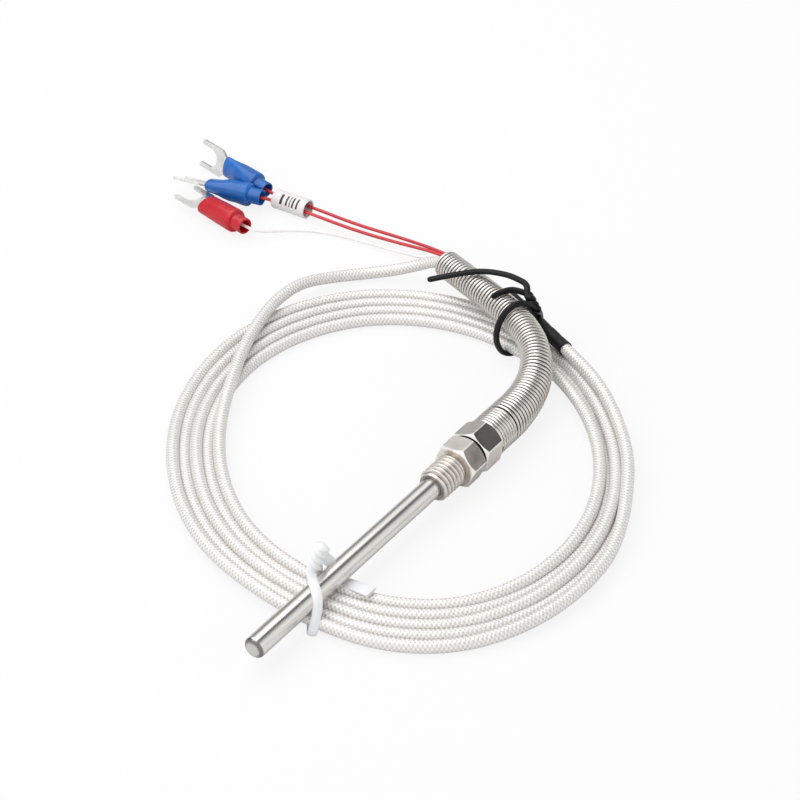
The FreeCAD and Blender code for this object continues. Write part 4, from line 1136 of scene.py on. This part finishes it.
def boot(name, finish):
    """Vinyl boot: open neck, round shoulder and a flattened duck-bill mouth, dented by the crimp."""
    neck, across, upward, axis = terminal_frame(name)
    narrow, flat = BOOT_MOUTH[name]
    rings = []
    for index, (height, half_width, half_height) in enumerate(BOOT_SHAPE):
        ring = []
        outside = index in BOOT_OUTSIDE
        mouth = ease((height - 8.5) / 6.5) if index > BOOT_SHOULDER else 0.0
        half_width *= 1.0 + (narrow - 1.0) * mouth
        half_height *= 1.0 + (flat - 1.0) * mouth
        for step in range(BOOT_SIDES):
            angle = FULL_TURN * step / BOOT_SIDES
            cosine, sine = math.cos(angle), math.sin(angle)
            reach = 1.0
            if outside and height < 3.6:
                reach += 0.014 * math.cos(6.0 * angle)
            if outside and 4.1 < height:
                dent = sum(math.exp(-((height - place) / length) ** 2) * depth
                           for place, length, depth in BOOT_DENTS)
                reach -= dent * abs(sine) ** 6
            ring.append(neck + axis * height + across * (half_width * cosine * reach)
                        + upward * (half_height * sine * reach))
        rings.append(ring)
    return skin("vinyl_boot_" + name, rings, finish, 50.0)


def softened_copy(node, name, finish, width):
    """Copy of a CAD node with its points merged and its edges rounded."""
    mesh = bpy.data.objects[node].data.copy()
    mesh.name = name
    made = add_object(name, mesh)
    weld = made.modifiers.new("weld", "WELD")
    weld.merge_threshold = 0.000004
    planes = made.modifiers.new("planes", "DECIMATE")
    planes.decimate_type = "DISSOLVE"
    planes.angle_limit = math.radians(2.0)
    edges = made.modifiers.new("edges", "BEVEL")
    edges.width = width * MM
    edges.segments = 3
    edges.limit_method = "ANGLE"
    edges.angle_limit = math.radians(40.0)
    shown = made.evaluated_get(bpy.context.evaluated_depsgraph_get())
    final = bpy.data.meshes.new_from_object(shown)
    made.modifiers.clear()
    shape = bmesh.new()
    shape.from_mesh(final)
    bmesh.ops.dissolve_degenerate(shape, dist=0.000002, edges=shape.edges)
    shape.to_mesh(final)
    shape.free()
    made.data = final
    final.materials.clear()
    final.materials.append(finish)
    smooth(final, 35.0)
    return made


shrink = heat_shrink()
marker = marker_sleeve()
BOOT_FINISH = {"blue_far": BOOT_BLUE, "blue_near": BOOT_BLUE, "red": BOOT_RED}
boots = {name: boot(name, finish) for name, finish in BOOT_FINISH.items()}
FORK_ROUNDING = 0.16
forks = {}
for name in TERMINALS:
    forks[name] = softened_copy("fork_terminal_" + name, "stamped_fork_" + name, TIN, FORK_ROUNDING)


# Ties

TIE_LOOP = [(27.2, 43.0, 14.2), (25.4, 42.1, 15.2), (23.0, 40.8, 15.2), (21.3, 40.0, 13.6),
            (19.9, 39.3, 10.9), (19.3, 39.0, 7.5), (19.9, 39.3, 4.0), (21.5, 40.2, 1.2), (24.4, 41.4, 0.43),
            (29.4, 47.4, 0.43), (30.9, 49.4, 2.2), (30.9, 49.6, 4.9), (30.7, 48.7, 7.4), (30.3, 46.6, 9.6)]
KNOT_START = np.array([29.5, 43.7, 11.5])
KNOT_END = np.array([27.5, 46.1, 14.5])
LONG_TAIL = [(27.3, 49.5, 15.5), (25.2, 51.6, 15.6), (22.2, 54.2, 15.4), (16.2, 56.7, 14.8),
             (9.5, 55.9, 14.2), (2.7, 55.2, 13.0)]
SHORT_TAIL = [(26.4, 47.3, 14.6), (23.5, 48.3, 15.0), (20.5, 47.3, 14.7), (18.3, 46.3, 14.0)]
KNOT_RADIUS = 0.72
KNOT_TURNS = 1.5
TIE_HALF_WIDTH = 0.80
TIE_HALF_THICKNESS = 0.62


def knot_strand(phase):
    """One strand of the twist, from the loop up to the tails."""
    axis = unit(KNOT_END - KNOT_START)
    across, upward = sides_of(axis)
    points = []
    steps = 12
    for index in range(steps + 1):
        angle = phase + FULL_TURN * KNOT_TURNS * index / steps
        middle = KNOT_START + (KNOT_END - KNOT_START) * index / steps
        points.append(tuple(middle + across * (KNOT_RADIUS * math.cos(angle))
                            + upward * (KNOT_RADIUS * math.sin(angle))))
    return points


def swept_strip(name, line, half_width, half_thickness, finish, lie=None, sides=20, square=2.4):
    """Strip with a rounded section along a line; lie gives the direction that its thickness faces."""
    ahead, side, rise = frames_along(line)
    rings = []
    for index, point in enumerate(line):
        across, upward = side[index], rise[index]
        if lie is not None:
            upward = unit(lie[index] - ahead[index] * np.dot(lie[index], ahead[index]))
            across = np.cross(ahead[index], upward)
        rings.append(oval_ring(point, across, upward, half_width[index], half_thickness[index],
                               sides, square))
    return skin(name, above_floor(rings), finish, 60.0)


def black_tie():
    """One plastic-coated wire: long tail, twist, loop round spring and cable, twist, short tail."""
    points = LONG_TAIL[::-1] + knot_strand(0.0)[::-1] + TIE_LOOP + knot_strand(math.pi) + SHORT_TAIL
    line = read_route("black_tie_route", points)
    line = evenly(line, 520)
    width = np.full(len(line), TIE_HALF_WIDTH)
    thickness = np.minimum(TIE_HALF_THICKNESS, np.maximum(line[:, 2] - 0.03, 0.3))
    place = along_line(line)
    for end in (place, place[-1] - place):
        taper = np.clip(0.55 + end / 1.2, 0.0, 1.0)
        width *= taper
        thickness *= taper
    return swept_strip("black_wire_tie", line, width, thickness, TIE_BLACK)


STRIP_LOOP = [(-22.9, -48.8, 7.7), (-22.7, -50.5, 8.6), (-22.4, -52.3, 8.9), (-21.8, -54.0, 8.5),
              (-21.4, -55.3, 7.3), (-21.5, -56.8, 5.3), (-22.0, -58.3, 3.6), (-22.5, -59.2, 1.6),
              (-22.8, -58.9, 0.2), (-22.8, -55.0, 0.2), (-22.6, -49.0, 0.2), (-22.2, -42.6, 0.2),
              (-22.0, -40.7, 0.6), (-21.9, -40.6, 2.8), (-22.0, -41.4, 4.8), (-22.4, -45.2, 6.3)]
STRIP_HALF_WIDTH = 1.1
STRIP_THICKNESS = 0.42
BEAD_WIDTH = 0.34
BEAD_HEIGHT = 0.14
STRIP_MIDDLE = np.array([-22.3, -50.0, 3.5])
STEM_START = np.array([-23.1, -46.2, 5.5])
STEM_END = np.array([-20.5, -46.3, 14.6])
STEM_TURNS = 2.5
STRIP_TAIL = [(-21.5, -43.6, 2.4), (-17.5, -44.6, 2.8), (-13.1, -47.6, 3.8), (-10.2, -49.9, 4.2)]
STUB_FACING = np.array([0.55, -0.68, 0.48])
STRIP_STUB = [(-20.9, -46.0, 11.6), (-19.9, -45.2, 9.8), (-18.7, -44.3, 7.6)]


def white_tie_loop():
    """Flat strip with a wire bead along its middle, round the sheath and the coil's turns."""
    line = evenly(read_route("white_tie_route", STRIP_LOOP, True), 181)[:-1]
    ahead = np.roll(line, -1, axis=0) - np.roll(line, 1, axis=0)
    rings = []
    for point, direction in zip(line, ahead):
        across = unit(np.cross(direction, point - STRIP_MIDDLE))
        outward = unit(np.cross(across, direction))
        thickness = min(STRIP_THICKNESS, max(point[2] - 0.03, 0.12))
        ring = np.array(oval_ring(np.zeros(3), across, outward, STRIP_HALF_WIDTH, thickness, 24, 2.6))
        share = min(1.0, thickness / STRIP_THICKNESS)
        bead = np.exp(-((ring @ across) / BEAD_WIDTH) ** 2) * BEAD_HEIGHT * np.sign(ring @ outward) * share
        rings.append(point + ring + bead[:, None] * outward[None, :])
    return skin("white_strip_loop", above_floor(rings), TIE_WHITE, 60.0, True)


def white_tie_stem():
    """Two strip ends twisted together: a two-lobed section that turns along the stem."""
    axis = unit(STEM_END - STEM_START)
    across, upward = sides_of(axis)
    rings = []
    steps = 60
    for index in range(steps + 1):
        share = index / steps
        turn = FULL_TURN * STEM_TURNS * share
        close = math.sqrt(max(0.0, 1.0 - max(0.0, (share - 0.9) / 0.1) ** 2)) * 0.92 + 0.08
        swell = (0.95 + 0.25 * ease(share / 0.8)) * close
        ring = []
        for step in range(36):
            angle = FULL_TURN * step / 36.0
            reach = (1.12 + 0.44 * math.cos(angle) ** 2) * swell
            middle = STEM_START + (STEM_END - STEM_START) * share
            ring.append(middle + across * (reach * math.cos(angle + turn))
                        + upward * (reach * math.sin(angle + turn)))
        rings.append(ring)
    return skin("white_strip_stem", rings, TIE_WHITE, 70.0)


def white_tie_end(name, route, count, half_width, half_thickness, facing, sides):
    """Loose flat end of the strip, with its thickness towards one direction."""
    line = evenly(read_route(name + "_route", route), count)
    return swept_strip(name, line, np.full(count, half_width), np.full(count, half_thickness), TIE_WHITE,
                       np.tile(facing, (count, 1)), sides, 3.0)


tie_black = black_tie()
strip_tail = ("white_strip_tail", STRIP_TAIL, 40, 1.65, 0.36, UP, 24)
strip_stub = ("white_strip_stub", STRIP_STUB, 16, 1.3, 0.35, STUB_FACING, 20)
strips = [white_tie_loop(), white_tie_stem(), white_tie_end(*strip_tail), white_tie_end(*strip_stub)]
tie_white = joined("white_strip_tie", strips)


# Inner pieces keep their CAD shapes

def inner_finish(name, dark, light, metallic, roughness, grain):
    made = Finish(name, {"Metallic": metallic})
    cloud = made.spots((grain, grain, grain), 0.0, 4.0)
    made.colour(cloud, (0.3, dark), (0.7, light))
    made.rough(cloud, roughness - 0.08, roughness + 0.08)
    made.bump(cloud, 0.02, 0.4)
    return made.material


CERAMIC = inner_finish("white_ceramic", (0.80, 0.79, 0.76), (0.90, 0.89, 0.86), 0.0, 0.5, 0.8)
FILLER = inner_finish("packed_oxide_powder", (0.72, 0.71, 0.68), (0.84, 0.83, 0.80), 0.0, 0.8, 0.4)
POTTING = inner_finish("dark_potting_resin", (0.05, 0.045, 0.04), (0.10, 0.09, 0.08), 0.0, 0.4, 1.5)
LEAD_METAL = inner_finish("element_lead_wire", (0.70, 0.69, 0.66), (0.82, 0.81, 0.78), 1.0, 0.3, 0.6)
SOLDER = inner_finish("solder_bead", (0.62, 0.62, 0.63), (0.78, 0.78, 0.79), 1.0, 0.35, 0.5)
KEPT_NODES = {
    "sheath_tube": SHEATH_STEEL, "sensing_element": CERAMIC, "tip_filler": FILLER, "lead_insulator": CERAMIC,
    "element_lead_live": LEAD_METAL, "element_lead_return": LEAD_METAL, "solder_joint": SOLDER,
    "core_red_1": WIRE_RED, "core_red_2": WIRE_RED, "core_white": WIRE_WHITE, "rear_potting": POTTING,
    "retaining_collar": FITTING_STEEL,
}
for node, finish in KEPT_NODES.items():
    mesh = bpy.data.objects[node].data
    mesh.materials.clear()
    mesh.materials.append(finish)


# Bodies and replaced solids

def belongs(piece, body, slot, *nodes):
    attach(piece, body)
    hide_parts(*nodes)


belongs(cable, "probe", "cable_jacket", "cable_in_spring", "cable_lead_out", "cable_coil", "cable_lead_in")
belongs(red_wire_far, "probe", "wire_red", "red_wire_1")
belongs(red_wire_near, "probe", "wire_red", "red_wire_2")
belongs(white_wire, "probe", "wire_white", "white_wire")
belongs(spring, "probe", "spring_steel", "strain_spring")
belongs(gland, "gland", "fitting_steel", "gland_screw")
belongs(nut, "probe", "fitting_steel", "spring_nut")
belongs(shrink, "probe", "shrink_black", "heat_shrink_sleeve")
belongs(marker, "probe", "marker_white", "marker_sleeve")
belongs(tie_black, "probe", "tie_black", "black_tie")
belongs(tie_white, "probe", "tie_white", "white_tie")
for name in TERMINALS:
    belongs(boots[name], "probe", "boot_red" if name == "red" else "boot_blue", "boot_" + name)
    belongs(forks[name], "probe", "tinned", "fork_terminal_" + name)
